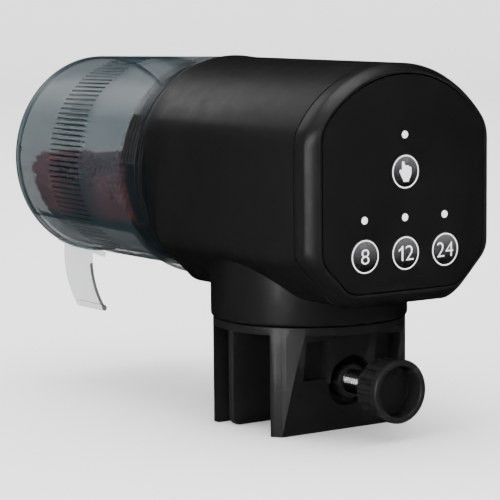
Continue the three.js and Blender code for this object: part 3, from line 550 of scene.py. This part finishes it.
def circle_like(outline, radius):
    """A circle whose points lie in the directions of an outline's points."""
    return [(x * radius / math.hypot(x, z), z * radius / math.hypot(x, z)) for x, z in outline]


def between_outlines(a, b, share):
    return [(p[0] + (q[0] - p[0]) * share, p[1] + (q[1] - p[1]) * share) for p, q in zip(a, b)]


def make_housing():
    front = SEAM_Y + GAP / 2
    outer = section(BODY)
    rim = circle_like(outer, RIM_RADIUS)
    blend_front = FLAT_END_Y - 0.6
    blend_length = REAR_Y - 0.9 - blend_front
    rings = [ring(section(BODY, 0.25), front), ring(section(BODY, 0.06), front + 0.1)]
    rings += [ring(outer, front + 0.35), ring(outer, FLAT_END_Y - 1.2)]
    for share in (0.02, 0.09, 0.2, 0.35, 0.5, 0.65, 0.8, 0.93, 1):
        rings.append(ring(between_outlines(outer, rim, share), blend_front + blend_length * share))
    rings += [ring(rim, REAR_Y - 0.4), ring(circle_like(outer, RIM_RADIUS - 0.1), REAR_Y - 0.12)]
    rings += [ring(circle_like(outer, RIM_RADIUS - 0.4), REAR_Y)]
    shell = loft("housing", rings)
    neck_top = AXIS_HEIGHT - 20
    neck_profile = [(0, NECK_BOTTOM, 0), (NECK_RADIUS, NECK_BOTTOM, 0.9)]
    neck_profile += [(NECK_RADIUS, neck_top, 0), (0, neck_top, 0)]
    neck = lathe("neck", soften(neck_profile), axis=Z, steps=160)
    combine(shell, [neck], "UNION")
    floor_top = NECK_BOTTOM + WALL
    inner = section(BODY, WALL)
    cavity = loft("cavity", [ring(inner, front - 1), ring(inner, REAR_Y - 4.2)])
    neck_cavity = post("neck_cavity", NECK_RADIUS - WALL, floor_top, 17, 96)
    pivot_hole = post("pivot_hole", 6.3, 0, 8, 48)
    opening = rod(25.2, 25, REAR_Y + 1, z=AXIS_HEIGHT)
    seat = rod(30.3, REAR_Y - 2.4, REAR_Y + 1, z=AXIS_HEIGHT, steps=128)
    door_y, door_z = span("battery_door", Y), span("battery_door", Z)
    window = block("window", [27, door_y[0] - GAP, door_z[0] - GAP], [34, door_y[1] + GAP, door_z[1] + GAP])
    combine(shell, [cavity, neck_cavity, pivot_hole, opening, seat, window], "DIFFERENCE")
    return dress(shell, housing_black, "housing", "housing_black", "housing_shell")


def make_bezel():
    back = SEAM_Y - GAP / 2
    outer, lip = section(BODY), section(PANEL, -0.9)
    rings = [ring(section(BODY, 0.25), back), ring(section(BODY, 0.06), back - 0.1), ring(outer, back - 0.35)]
    bulge, steps = 0.28, 10
    for i in range(steps + 1):
        angle = math.pi / 2 * i / steps
        share = (1 - bulge) * i / steps + bulge * (1 - math.cos(angle))
        rise = (1 - bulge) * i / steps + bulge * math.sin(angle)
        rings.append(ring(between_outlines(outer, lip, share), BEVEL_Y + (PANEL_Y - BEVEL_Y) * rise))
    seat = section(PANEL, -0.2)
    rings += [ring(section(PANEL, -0.32), PANEL_Y), ring(seat, PANEL_Y + 0.1), ring(seat, PANEL_Y + 1.8)]
    rings += [ring(section(PANEL, 1.8), PANEL_Y + 1.8), ring(section(BODY, WALL + 3), BEVEL_Y + 1)]
    rings += [ring(section(BODY, WALL), BEVEL_Y + 2), ring(section(BODY, WALL), back)]
    return dress(loft("bezel", rings, closed=True), housing_black, "housing", "housing_black", "front_bezel")


# ---- the panel, its buttons and its print --------------------------------------------------------
def middle(node):
    return sum(span(node, X)) / 2, sum(span(node, Z)) / 2


BUTTON_RADIUS = 4.65
LIGHT_RADIUS = 1.05
BUTTONS = [
    ("manual_feed_button", "feed_light", "feed_button", "hand"),
    ("interval_button_8", "interval_light_8", "button_8", "8"),
    ("interval_button_12", "interval_light_12", "button_12", "12"),
    ("interval_button_24", "interval_light_24", "button_24", "24"),
]


def make_panel():
    rings = [ring(section(PANEL, 0.25), PANEL_Y), ring(section(PANEL, 0.13), PANEL_Y + 0.05)]
    rings += [ring(section(PANEL, 0.1), PANEL_Y + 0.2), ring(section(PANEL, 0.1), PANEL_Y + 1.5)]
    panel = loft("panel", rings)
    holes = []
    for button, light, _, _ in BUTTONS:
        x, z = middle(button)
        holes.append(rod(BUTTON_RADIUS + GAP * 0.6, PANEL_Y - 1, PANEL_Y + 2, x, z, 96))
        x, z = middle(light)
        holes.append(rod(LIGHT_RADIUS + 0.08, PANEL_Y - 1, PANEL_Y + 2, x, z, 48))
    combine(panel, holes, "DIFFERENCE")
    dress(panel, panel_black, "housing", "panel_black", "control_panel")


# A pointing hand, from its wrist round to the thumb; a third value is a corner's own softness.
HAND = [
    (-0.85, -2.9), (1.2, -2.9), (1.25, -2.35), (1.9, -1.35), (2.1, -0.3), (2.1, 1.2, 0.35), (1.5, 1.45),
    (1.3, 1.2, 0.1), (1.15, 1.7, 0.35), (0.5, 1.85), (0.3, 1.45, 0.1), (0.15, 1.95, 0.35), (-0.4, 2.0, 0.1),
    (-0.4, 3.0, 0.5), (-1.3, 3.0, 0.5), (-1.3, 0.55, 0.1), (-1.75, 0.75, 0.4), (-2.35, 0.25, 0.5),
    (-1.75, -0.75), (-1.45, -1.5), (-0.85, -2.35),
]

# Each numeral's middle and width; the 1 of the 12 is drawn, for its flag.
NUMERALS = {"8": (0, 2.7), "12": (1.35, 2.75), "24": (0, 5.7)}
NUMERAL_HEIGHT = 4.1
DIGIT_ONE = [
    (-0.85, -2.05), (-0.85, 2.05), (-1.25, 2.05), (-1.6, 1.6), (-2.4, 1.05), (-2.4, 0.55), (-1.85, 0.8),
    (-1.4, 1.15), (-1.4, -2.05),
]
INK = 0.03


def text_outline(name, words, x, z, front, width, height):
    """Flat lettering of a set size, facing the person at the panel."""
    curve = bpy.data.curves.new(name, "FONT")
    curve.body, curve.size, curve.extrude = words, 1, 0.5
    curve.resolution_u, curve.offset = 8, -0.012
    source = new_object(name, curve)
    graph = bpy.context.evaluated_depsgraph_get()
    mesh = bpy.data.meshes.new_from_object(source.evaluated_get(graph))
    bpy.data.objects.remove(source, do_unlink=True)
    low = [min(v.co[k] for v in mesh.vertices) for k in (0, 1)]
    high = [max(v.co[k] for v in mesh.vertices) for k in (0, 1)]
    for vertex in mesh.vertices:
        u = (vertex.co.x - low[0]) / (high[0] - low[0]) - 0.5
        v = (vertex.co.y - low[1]) / (high[1] - low[1]) - 0.5
        vertex.co = Vector((x + u * width, front - vertex.co.z * INK, z + v * height)) * MM
    piece = new_object(name, mesh)
    edit(mesh, lambda shape: bmesh.ops.remove_doubles(shape, verts=shape.verts, dist=0.002 * MM))
    return piece


def make_buttons():
    face_y = PANEL_Y - 0.2
    for button, light, body, symbol in BUTTONS:
        x, z = middle(button)
        flange, flange_back, stem_back = face_y + 2.1, face_y + 2.8, face_y + 4.4
        profile = [(0, face_y, 0), (BUTTON_RADIUS, face_y, 0.12), (BUTTON_RADIUS, flange, 0)]
        profile += [(5.6, flange, 0), (5.6, flange_back, 0), (1.7, flange_back, 0)]
        profile += [(1.7, stem_back, 0), (0, stem_back, 0)]
        cap = lathe(f"cap_{body}", soften(profile), (x, 0, z))
        face = shaded_button_face(f"face_{body}", (0.085, 0.085, 0.088), (0.003, 0.003, 0.003), z - 3.5, z + 4.6)
        dress(cap, face, body, "button_black", button)
        ink_front, ink_back = face_y - INK, face_y + 0.05
        ring_profile = [(4.2, ink_back), (4.2, ink_front), (4.56, ink_front), (4.56, ink_back)]
        printed_ring = lathe(f"ring_{body}", soften(ring_profile, 0.02), (x, 0, z), steps=128)
        dress(printed_ring, white_ink, body, "light_white")
        if symbol == "hand":
            outline = [(x + u * 0.95, z + v * 0.95) for u, v in soften(HAND, 0.2)]
            mark = extrude("mark_hand", outline, ink_front, ink_back, Y)
        else:
            centre, width = NUMERALS[symbol]
            words = symbol[-1] if symbol == "12" else symbol
            mark = text_outline(f"mark_{symbol}", words, x + centre, z, face_y, width, NUMERAL_HEIGHT)
            if symbol == "12":
                stem = [(x + u, z + v) for u, v in DIGIT_ONE]
                mark = combine(mark, [extrude("stem", stem, ink_front, face_y + INK / 2, Y)], "UNION")
        dress(mark, white_ink, body, "light_white")
        x, z = middle(light)
        top = PANEL_Y - 0.05
        back = span(light, Y)[1]
        dot = soften([(0, top, 0), (LIGHT_RADIUS, top, 0.15), (LIGHT_RADIUS, back, 0), (0, back, 0)])
        dress(lathe(f"dot_{light}", dot, (x, 0, z), steps=48), light_white, "housing", "light_white", light)


# ---- the clamp -------------------------------------------------------------------------------------
def upright(name, y0, y1, half_width, corner_radius, top):
    """A plate across the clamp with rounded lower corners."""
    outline = [(-half_width, top, 0), (-half_width, JAW_BOTTOM, corner_radius)]
    outline += [(half_width, JAW_BOTTOM, corner_radius), (half_width, top, 0)]
    return extrude(name, soften(outline, steps=10), y0, y1, Y)


def envelope(radius):
    return post("envelope", radius, JAW_BOTTOM - 1, 1, 160)


def make_clamp():
    base_profile = [(0, 0, 0), (BASE_RADIUS, 0), (BASE_RADIUS, BASE_THICKNESS), (0, BASE_THICKNESS, 0)]
    base = lathe("clamp", soften(base_profile, 0.35), axis=Z, steps=160)
    rear_jaw = upright("rear_jaw", 12.6, 20, 24.9, 2, 0.5)
    round_edges(combine(rear_jaw, [envelope(BASE_RADIUS)], "INTERSECT"), 0.45, angle=50)
    side = [(JAW_BACK, 0.5), (JAW_BACK, JAW_BOTTOM), (-17.1, JAW_BOTTOM), (-21.9, 0.5)]
    slanted = extrude("front_jaw", side, -30, 30, X)
    front_jaw = upright("front_plate", -30, -10, 25.4, 1.6, 0.5)
    combine(front_jaw, [slanted, envelope(BASE_RADIUS)], "INTERSECT")
    round_edges(front_jaw, 0.8, angle=50)
    column = block("column", [-8.3, BOSS_FRONT + 0.5, SCREW_HEIGHT], [8.3, JAW_BACK, 0.5])
    pockets = []
    for x in (-12.4, 12.4):
        pockets.append(block("pocket", [x - 4.1, -30, -13.2], [x + 4.1, -17, -1.8], 0.5))
    combine(column, [envelope(BASE_RADIUS)], "INTERSECT")
    round_edges(column, 0.4, angle=50)
    combine(front_jaw, [column], "UNION")
    groove_profile = [(BOSS_RADIUS, -30), (7.4, -30), (7.4, -16.2), (BOSS_RADIUS, -16.2)]
    groove = lathe("groove", groove_profile, SCREW_AXIS, steps=72)
    combine(front_jaw, pockets + [groove], "DIFFERENCE")
    boss_profile = [(0, BOSS_FRONT, 0), (BOSS_RADIUS, BOSS_FRONT, 0.4), (BOSS_RADIUS, JAW_BACK, 0)]
    boss_profile.append((0, JAW_BACK, 0))
    boss = lathe("boss", soften(boss_profile), SCREW_AXIS, steps=72)
    pivot = post("pivot", 6, 1, 7.2, 48)
    combine(base, [rear_jaw, front_jaw, boss, pivot], "UNION")
    combine(base, [rod(3.55, -40, -10, z=SCREW_HEIGHT, steps=48)], "DIFFERENCE")
    dress(base, clamp_black, "clamp", "clamp_black", "clamp_base")


def make_plate():
    plate = upright("plate", PLATE_FRONT, PLATE_BACK, 23.1, 3, -0.4)
    combine(plate, [envelope(BASE_RADIUS - 0.1)], "INTERSECT")
    round_edges(plate, 0.45, angle=50)
    socket_front = span("pressure_plate", Y)[0]
    socket_back = PLATE_FRONT + 0.5
    socket_profile = [(0, socket_front, 0), (6, socket_front, 0.5), (6, socket_back, 0), (0, socket_back, 0)]
    socket = lathe("socket", soften(socket_profile), SCREW_AXIS, steps=64)
    combine(plate, [socket], "UNION")
    combine(plate, [rod(3.2, socket_front - 1, PLATE_FRONT + 1.2, z=SCREW_HEIGHT, steps=48)], "DIFFERENCE")
    dress(plate, clamp_black, "plate", "clamp_black", "pressure_plate")


def make_screw():
    """A rod with a double thread that moves on 2 mm a turn, and a plain tip in the plate's socket."""
    lead, starts, depth, outer, core, per_turn = 2.0, 2, 0.5, 3.4, 2.6, 64
    start, end = span("clamp_screw", Y)
    thread_end = span("pressure_plate", Y)[0] - GAP
    rings = [screw_ring(start, lambda k: core, per_turn)]
    for y in spread(start + 0.3, thread_end - 0.6, 0.125):

        def radius(k):
            wave = (starts * (y / lead - k / per_turn)) % 1
            return outer - depth * min(1, max(0, abs(wave - 0.5) * 3.2 - 0.3))

        rings.append(screw_ring(y, radius, per_turn))
    rings += [screw_ring(y, lambda k: core, per_turn) for y in (thread_end, end)]
    dress(loft("thread", rings), steel, "screw", "steel", "clamp_screw", crease=50)


def screw_ring(y, radius, count):
    points = []
    for k in range(count):
        angle = 2 * math.pi * k / count
        points.append((radius(k) * math.cos(angle), y, SCREW_HEIGHT + radius(k) * math.sin(angle)))
    return points


def make_knob():
    """A cupped knob with a rounded front ring and a fluted grip."""
    flutes, flute_depth, radius, grip, cup_radius, bore = 18, 0.62, 9, 8.55, 7.1, 3.7
    floor = KNOB_FRONT + 6
    neck = KNOB_FRONT + 2.8
    profile = [(bore, KNOB_BACK, 0), (8.1, KNOB_BACK, 0), (grip, KNOB_BACK - 0.5, 1), (grip, neck + 0.3, 1)]
    front = [(grip, neck, 0.2), (radius, neck - 0.2, 0.5), (radius, KNOB_FRONT, 1.1)]
    front += [(cup_radius, KNOB_FRONT, 0.8), (cup_radius, floor, 0.5), (0, floor, 0)]
    profile += [(r, y, 0) for r, y in soften(front, closed=False)]
    profile += [(0, KNOB_BACK - 1.8, 0), (bore, KNOB_BACK - 1.8, 0)]

    def flute(share):
        wave = abs(((share * flutes) % 1) - 0.5) * 2
        return flute_depth * max(0, 1 - (wave / 0.62) ** 2) ** 0.5

    knob = lathe("knob", profile, SCREW_AXIS, steps=flutes * 10, dip=flute)
    dress(knob, knob_black, "screw", "knob_black", "screw_knob", crease=40)


# ---- the food drum ---------------------------------------------------------------------------------
def around(radius, degrees, y):
    """A point about the drum's axis; the angle runs from straight down towards -X."""
    angle = math.radians(degrees)
    return (-radius * math.sin(angle), y, AXIS_HEIGHT - radius * math.cos(angle))


def groove_depth(degrees, y):
    """How deep the groove between two ribs is at a place on the drum."""
    if not RIB_BAND[0] <= y <= RIB_BAND[1]:
        return 0
    away = abs((degrees / RIB_PITCH) % 1 - 0.5)
    return RIB_DEPTH * min(1, max(0, (0.2 - away) / 0.08))


def within(opening, degrees, y):
    return opening["low"] < degrees < opening["high"] and opening["front"] < y < opening["back"]


def spread(low, high, step):
    count = max(1, round((high - low) / step))
    return [low + (high - low) * i / count for i in range(count + 1)]


def angles_for(low, high, extra=()):
    """Angles that follow the ribs: four to a rib, on the groove's edges, and the extra ones."""
    out = set()
    first = math.floor(low / RIB_PITCH)
    for rib in range(first, math.ceil(high / RIB_PITCH) + 1):
        for share in (0.3, 0.38, 0.62, 0.7):
            out.add(round((rib + share) * RIB_PITCH, 4))
    out = {a for a in out if low < a < high and all(abs(a - e) > 0.15 for e in extra)}
    return sorted(out | {low, high} | {e for e in extra if low < e < high})


def drop_loose(shape):
    bmesh.ops.delete(shape, geom=[v for v in shape.verts if not v.link_faces], context="VERTS")


def shell_between(name, angles, stations, outer, inner, wrap):
    """A curved wall between two functions' points, on a grid of angles and (y) stations, with the port."""
    rows, columns = len(stations), len(angles)
    vertices = [skin(a, y) for skin in (outer, inner) for y in stations for a in angles]
    offset = rows * columns

    def cell(j, i):
        n = (i + 1) % columns
        return j * columns + i, j * columns + n, (j + 1) * columns + n, (j + 1) * columns + i

    def open_cell(j, i):
        if not 0 <= j < rows - 1:
            return True
        if not wrap and not 0 <= i < columns - 1:
            return True
        i %= columns
        mid_angle = (angles[i] + angles[(i + 1) % columns]) / 2
        return within(PORT, mid_angle, (stations[j] + stations[j + 1]) / 2)

    faces = []
    for j in range(rows - 1):
        for i in range(columns if wrap else columns - 1):
            if open_cell(j, i):
                continue
            a, b, c, d = cell(j, i)
            faces += [[a, b, c, d], [a + offset, d + offset, c + offset, b + offset]]
            neighbours = [(j - 1, i), (j, i + 1), (j + 1, i), (j, i - 1)]
            for (p, q), neighbour in zip(((a, b), (b, c), (c, d), (d, a)), neighbours):
                if open_cell(*neighbour):
                    faces.append([q, p, p + offset, q + offset])
    piece = mesh_piece(name, vertices, faces)
    edit(piece.data, drop_loose)
    return piece


def make_drum():
    edge = 0.25
    steps_y = [DRUM_FRONT, DRUM_FRONT + 0.3, 46, RECESS["front"] - edge, RECESS["front"] + edge, 60, 68]
    steps_y += [RIB_BAND[0] - 0.2, RIB_BAND[0], RIB_BAND[1], RIB_BAND[1] + 0.2, PORT["front"], 105]
    steps_y += [DRUM_BACK - 4.2, PORT["back"], RECESS["back"] - edge]
    recess_edges = [RECESS["low"] - 0.3, RECESS["low"] + 0.3, RECESS["high"] - 0.3, RECESS["high"] + 0.3]
    angles = angles_for(-180, 180, [*recess_edges, PORT["low"], PORT["high"]])[:-1]

    def outer(degrees, y):
        radius = drum_radius(y)
        if y <= DRUM_FRONT:
            radius -= 0.2
        if within(RECESS, degrees, y):
            radius = RECESS_FLOOR
        return around(radius - groove_depth(degrees, y), degrees, y)

    def inner(degrees, y):
        margin = 1.5
        near = RECESS["low"] - margin < degrees < RECESS["high"] + margin
        if near and RECESS["front"] - margin < y < RECESS["back"] + margin:
            return around(RECESS_FLOOR - RECESS_WALL, degrees, y)
        return around(drum_radius(y) - DRUM_WALL, degrees, y)

    return shell_between("drum_wall", angles, sorted(set(steps_y)), outer, inner, wrap=True)


def make_end_cap():
    """The drum's closed end: the rim past the recess, a rounded corner and a flat end."""
    front = RECESS["back"] - 0.25
    inside = DRUM_BACK - 1.8
    profile = [(drum_radius(front), front, 0), (DRUM_BACK_RADIUS, DRUM_BACK, 0.7), (0, DRUM_BACK, 0)]
    profile += [(0, inside, 0), (27.6, inside, 0.8), (RECESS_FLOOR - RECESS_WALL, front, 0)]
    return lathe("drum_end", soften(profile, steps=6), DRUM_AXIS, steps=180)


def make_slider():
    recess_front, recess_back = RECESS["front"] + GAP, RECESS["back"] - GAP
    low, high = -48, RECESS["high"] - 0.6
    steps_y = [recess_front, recess_front + 0.25, 60, 68, RIB_BAND[0] - 0.2, *RIB_BAND, RIB_BAND[1] + 0.2]
    steps_y += [PORT["front"], 105, PORT["back"], recess_back - 0.25, recess_back]
    angles = angles_for(low, high, [low + 0.5, high - 0.5, PORT["low"], PORT["high"]])

    def outer(degrees, y):
        edge = 0.2 if y in (recess_front, recess_back) or degrees in (low, high) else 0
        return around(SLIDER_OUTER - edge - groove_depth(degrees, y), degrees, y)

    def inner(degrees, y):
        return around(RECESS_FLOOR + GAP, degrees, y)

    return shell_between("slider", angles, steps_y, outer, inner, wrap=False)


def curved_bar(name, inner, outer, low, high, y0, y1, edge):
    """A short bar that follows the drum round, with softened edges."""
    section_points = soften([(outer, y0), (outer, y1), (inner, y1, 0), (inner, y0, 0)], edge)
    rings = [[around(r, degrees, y) for r, y in section_points] for degrees in spread(low, high, 1.5)]
    return loft(name, rings)


def make_lock():
    front, back = span("lock_tab", Y)
    surface = drum_radius(front)
    low, high = 94.5, 120.5
    pad = curved_bar("lock", surface - 0.9, surface + 0.05, low, high, front, back, 0.3)
    ridges = []
    for i in range(4):
        y = front + 0.7 + i * 1.75
        heights = surface - 0.5, surface + 0.3
        ridges.append(curved_bar(f"ridge_{i}", *heights, low + 0.5, high - 0.5, y, y + 0.5, 0.2))
    combine(pad, ridges, "UNION")
    dress(pad, lock_black, "drum", "lock_black", "lock_tab", crease=40)


def make_lid():
    """A cap with a plug in the drum, a groove, three sockets and a lip that nearly meets the housing."""
    rim, hub = DRUM_FRONT_RADIUS, 10.4
    plug = rim - DRUM_WALL - GAP
    front = span("drum_lid", Y)[0]
    back = DRUM_FRONT - GAP
    lip, plug_back = REAR_Y + 0.15, 47.5
    low, high = 43, 44.4  # the groove
    disc = (40.9, 42.4)
    profile = [(hub, front, 0.3), (rim - 4, front, 0), (rim - 4, lip, 0.1), (rim - 0.5, lip, 0.15)]
    profile += [(rim - 0.5, front, 0), (rim, front, 0.2), (rim, back, 0.25), (plug, back, 0)]
    profile += [(plug, low, 0), (plug - 1, low, 0), (plug - 1, high, 0), (plug, high, 0)]
    profile += [(plug, plug_back, 0.3), (plug - 2.4, plug_back, 0.3), (plug - 2.4, disc[1], 0.6)]
    profile += [(0, disc[1], 0), (0, disc[0], 0), (hub, disc[0], 0)]
    lid = lathe("lid", soften(profile), DRUM_AXIS, steps=180)
    sockets = []
    for angle in (90, 210, 330):
        x, z = 6.6 * math.cos(math.radians(angle)), 6.6 * math.sin(math.radians(angle))
        sockets.append(rod(2.3, 39, 45, x, AXIS_HEIGHT + z, 24))
    combine(lid, sockets, "DIFFERENCE")
    dress(lid, lid_black, "drive", "lid_black", "drum_lid")


def make_chute():
    """A thin blade that curls under the drum, with a foot on the slider, a small web and a beaded tip."""
    front, back = span("chute_blade", Y)
    radius, thickness, angle = 32, 0.9, 27.7
    foot_height = SLIDER_OUTER + GAP
    foot_x, _, foot_z = around(foot_height, angle, 0)
    centre_x, centre_z = foot_x - thickness + radius, AXIS_HEIGHT - 32
    start = math.asin((foot_z - centre_z) / radius)
    end = math.asin((span("chute_blade", Z)[0] - centre_z) / radius)

    def leaf(name, reach, thick, low, high):
        rings = []
        for y, inset in ((front, 0.2), (front + 0.2, 0), (back - 0.2, 0), (back, 0.2)):
            outline = []
            for r, turns in ((reach + thick - inset, (low, high)), (reach + inset, (high, low))):
                for i in range(41):
                    a = turns[0] + (turns[1] - turns[0]) * i / 40
                    outline.append((centre_x - r * math.cos(a), y, centre_z + r * math.sin(a)))
            rings.append(outline)
        return loft(name, rings)

    inner = radius - thickness / 2
    chute = leaf("chute", inner, thickness, start, end)
    bead = leaf("bead", inner - 0.45, thickness + 0.6, end + 0.045, end + 0.01)
    foot = curved_bar("foot", foot_height, foot_height + 0.9, angle - 1.2, angle + 6.5, front, back, 0.2)
    web = curved_bar("web", foot_height, foot_height + 1.8, angle - 9, angle, front, front + 0.8, 0.15)
    return combine(chute, [bead, foot, web], "UNION")


# ---- the food ------------------------------------------------------------------------------------
def make_food():
    """A heap of granules in the drum's lower half: a core under a layer of loose balls."""
    draw = random.Random(5)
    reach, front, back = 28.2, 47.5, 114.1

    def surface(x, y):
        """The heap's top above the drum's axis: a crest near the closed end, low at the lid."""
        share = (y - front) / (back - front)
        fall = 5 * max(0, (share - 0.86) / 0.14) ** 2
        ripple = 0.9 * math.sin(y * 0.31) + 0.6 * math.sin(x * 0.4 + y * 0.13)
        return -8.5 + 9.5 * share - fall - 2.2 * (x / reach) + ripple

    rings = []
    core = reach - 1.4
    for y in spread(front + 1.3, back - 1.3, 4):
        points = []
        for k in range(48):
            angle = 2 * math.pi * k / 48
            x, z = core * math.cos(angle), core * math.sin(angle)
            points.append((x, y, min(z, surface(x, y) - 1.2) + AXIS_HEIGHT))
        rings.append(points)
    heap = loft("food_heap", rings)
    dress(heap, food_red, "housing", "lid_black")

    ball = bmesh.new()
    bmesh.ops.create_icosphere(ball, subdivisions=1, radius=1)
    ball_points = [v.co.copy() for v in ball.verts]
    ball_faces = [[v.index for v in face.verts] for face in ball.faces]
    ball.free()
    vertices, faces = [], []

    def drop(x, y, z):
        size = draw.uniform(0.85, 1.2)
        first = len(vertices)
        for point in ball_points:
            vertices.append((x + point.x * size, y + point.y * size, AXIS_HEIGHT + z + point.z * size))
        faces.extend([[first + i for i in face] for face in ball_faces])

    for y in spread(front + 1.5, back - 1.5, 1.9):
        for x in spread(-reach + 2, reach - 2, 1.9):
            px, py = x + draw.uniform(-0.5, 0.5), y + draw.uniform(-0.4, 0.4)
            z = surface(px, py) - 0.6 + draw.uniform(-0.3, 0.5)
            if math.hypot(px, z) < reach - 1.2:
                drop(px, py, z)
        for k in range(86):
            angle = 2 * math.pi * (k + draw.uniform(0, 0.6)) / 86
            x, z = (reach - 1.2) * math.cos(angle), (reach - 1.2) * math.sin(angle)
            if z < surface(x, y) - 0.8:
                drop(x, y + draw.uniform(-0.4, 0.4), z)
    granules = mesh_piece("food_granules", vertices, faces)
    dress(granules, food_red, "housing", "lid_black", crease=180)


# ---- the battery door and the inner pieces ---------------------------------------------------------
def make_door():
    low, high = [list(c) for c in zip(*(span("battery_door", axis) for axis in (X, Y, Z)))]
    door = block("door", low, high, 0.3)
    grips = []
    for i in range(3):
        y = 14 + i * 2.2
        corners = [high[X] - 0.6, y, AXIS_HEIGHT - 8.5], [high[X] + 1, y + 1.1, AXIS_HEIGHT + 3.5]
        grips.append(block("grip", *corners, 0.25))
    combine(door, grips, "DIFFERENCE")
    dress(door, housing_black, "door", "housing_black", "battery_door")


INNER = {
    steel: ["swivel_spring_washer", "swivel_washer", "swivel_screw", "idler_pin", "drive_shaft"]
    + [f"bezel_screw_{i}" for i in (1, 2, 3, 4)]
    + [f"board_screw_{i}" for i in (1, 2)]
    + [f"bulkhead_screw_{i}" for i in (1, 2, 3)]
    + [f"bracket_screw_{i}" for i in (1, 2)],
    nickel: ["contact_plate_front", "contact_plate_rear", "contact_spring_1", "contact_spring_2"],
    motor_steel: ["gear_motor"],
    brass: ["motor_pinion"],
    gear_white: ["idler_gear", "output_gear", "shaft_bush"],
    switch_grey: ["motor_bracket", "drive_dog", "feed_switch"]
    + [f"interval_switch_{hours}" for hours in (8, 12, 24)],
    tray_black: ["battery_tray", "rear_bulkhead"],
    board_green: ["circuit_board"],
    cell_wrap: ["battery_cell_1", "battery_cell_2"],
    seal_rubber: ["lid_seal"],
}


def dress_inner_nodes():
    for material, names in INNER.items():
        for name in names:
            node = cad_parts[name]
            node.data.materials.clear()
            node.data.materials.append(material)


# ---- the studio ----------------------------------------------------------------------------------
def make_stage():
    """A pale floor that curves up into a wall all round."""
    floor = JAW_BOTTOM
    reach, height, bend = 3000, 3200, 900
    curve = corner((reach - bend, floor), (reach, floor), (reach, floor + bend), 16)
    profile = [(0, floor), *curve, (reach, floor + height)]
    stage = lathe("stage", profile, axis=Z, closed=False)
    for polygon in stage.data.polygons:
        polygon.use_smooth = True
    nodes = Nodes("stage_paper")
    nodes.set("Base Color", (0.87, 0.87, 0.87))
    nodes.set("Roughness", 0.6)
    nodes.set("Specular IOR Level", 0.2)
    stage.data.materials.append(nodes.material)
    stage.visible_glossy = False


LIT_POINT = (0, 20, 30)
VIEW = dict(azimuth=-34.61, elevation=6.75, roll=-0.55, lens=163.3)
VIEW.update(across=-16.95, height=49.63, distance=662.3)


def add_light(name, place_mm, size, power, tall=None):
    """A softbox that faces the object."""
    light = bpy.data.lights.new(name, "AREA")
    light.energy, light.size = power, size * MM
    if tall:
        light.shape, light.size_y = "RECTANGLE", tall * MM
    lamp = new_object(name, light)
    lamp.location = Vector(place_mm) * MM
    lamp.rotation_euler = (Vector(LIT_POINT) - Vector(place_mm)).to_track_quat("-Z", "Y").to_euler()


def make_camera():
    azimuth, elevation, roll = (math.radians(VIEW[key]) for key in ("azimuth", "elevation", "roll"))
    back = Vector((math.sin(azimuth), -math.cos(azimuth), 0)) * math.cos(elevation)
    back.z = math.sin(elevation)
    level = Vector((math.cos(azimuth), math.sin(azimuth), 0))
    up = back.cross(level)
    target = level * VIEW["across"] + up * VIEW["height"] + Vector((0, 0, JAW_BOTTOM))
    data = bpy.data.cameras.new("camera")
    data.sensor_width, data.lens, data.clip_end = 36, VIEW["lens"], 20
    camera = new_object("camera", data)
    camera.location = (target + back * VIEW["distance"]) * MM
    camera.rotation_mode = "QUATERNION"
    right = level * math.cos(roll) + up * math.sin(roll)
    turned_up = back.cross(right)
    basis = [[right[k], turned_up[k], back[k]] for k in range(3)]
    camera.rotation_quaternion = Matrix(basis).to_quaternion()
    bpy.context.scene.camera = camera


def make_studio():
    """White light from all round, and softboxes that are all the gloss has to reflect."""
    make_stage()
    make_camera()
    world = bpy.data.worlds.new("studio")
    world.use_nodes = True
    world.node_tree.nodes["Background"].inputs["Color"].default_value = (1, 1, 1, 1)
    world.node_tree.nodes["Background"].inputs["Strength"].default_value = 3.5
    world.cycles_visibility.glossy = False
    bpy.context.scene.world = world
    add_light("back_softbox", (-180, 960, 760), 520, 1.9)
    add_light("left_softbox", (-1000, -350, 120), 300, 9, 700)
    add_light("top_softbox", (-100, 100, 1200), 700, 8)


make_studio()
make_housing()
make_bezel()
make_panel()
make_buttons()
make_clamp()
make_plate()
make_screw()
make_knob()
dress(make_drum(), smoke_clear, "drum", "smoke_clear", "food_drum", crease=25)
dress(make_end_cap(), smoke_end, "drum", "smoke_clear")
dress(make_slider(), slider_clear, "outlet", "smoke_clear", "outlet_slider", crease=25)
make_lock()
make_lid()
dress(make_chute(), chute_clear, "outlet", "chute_clear", "chute_blade")
make_food()
make_door()
dress_inner_nodes()
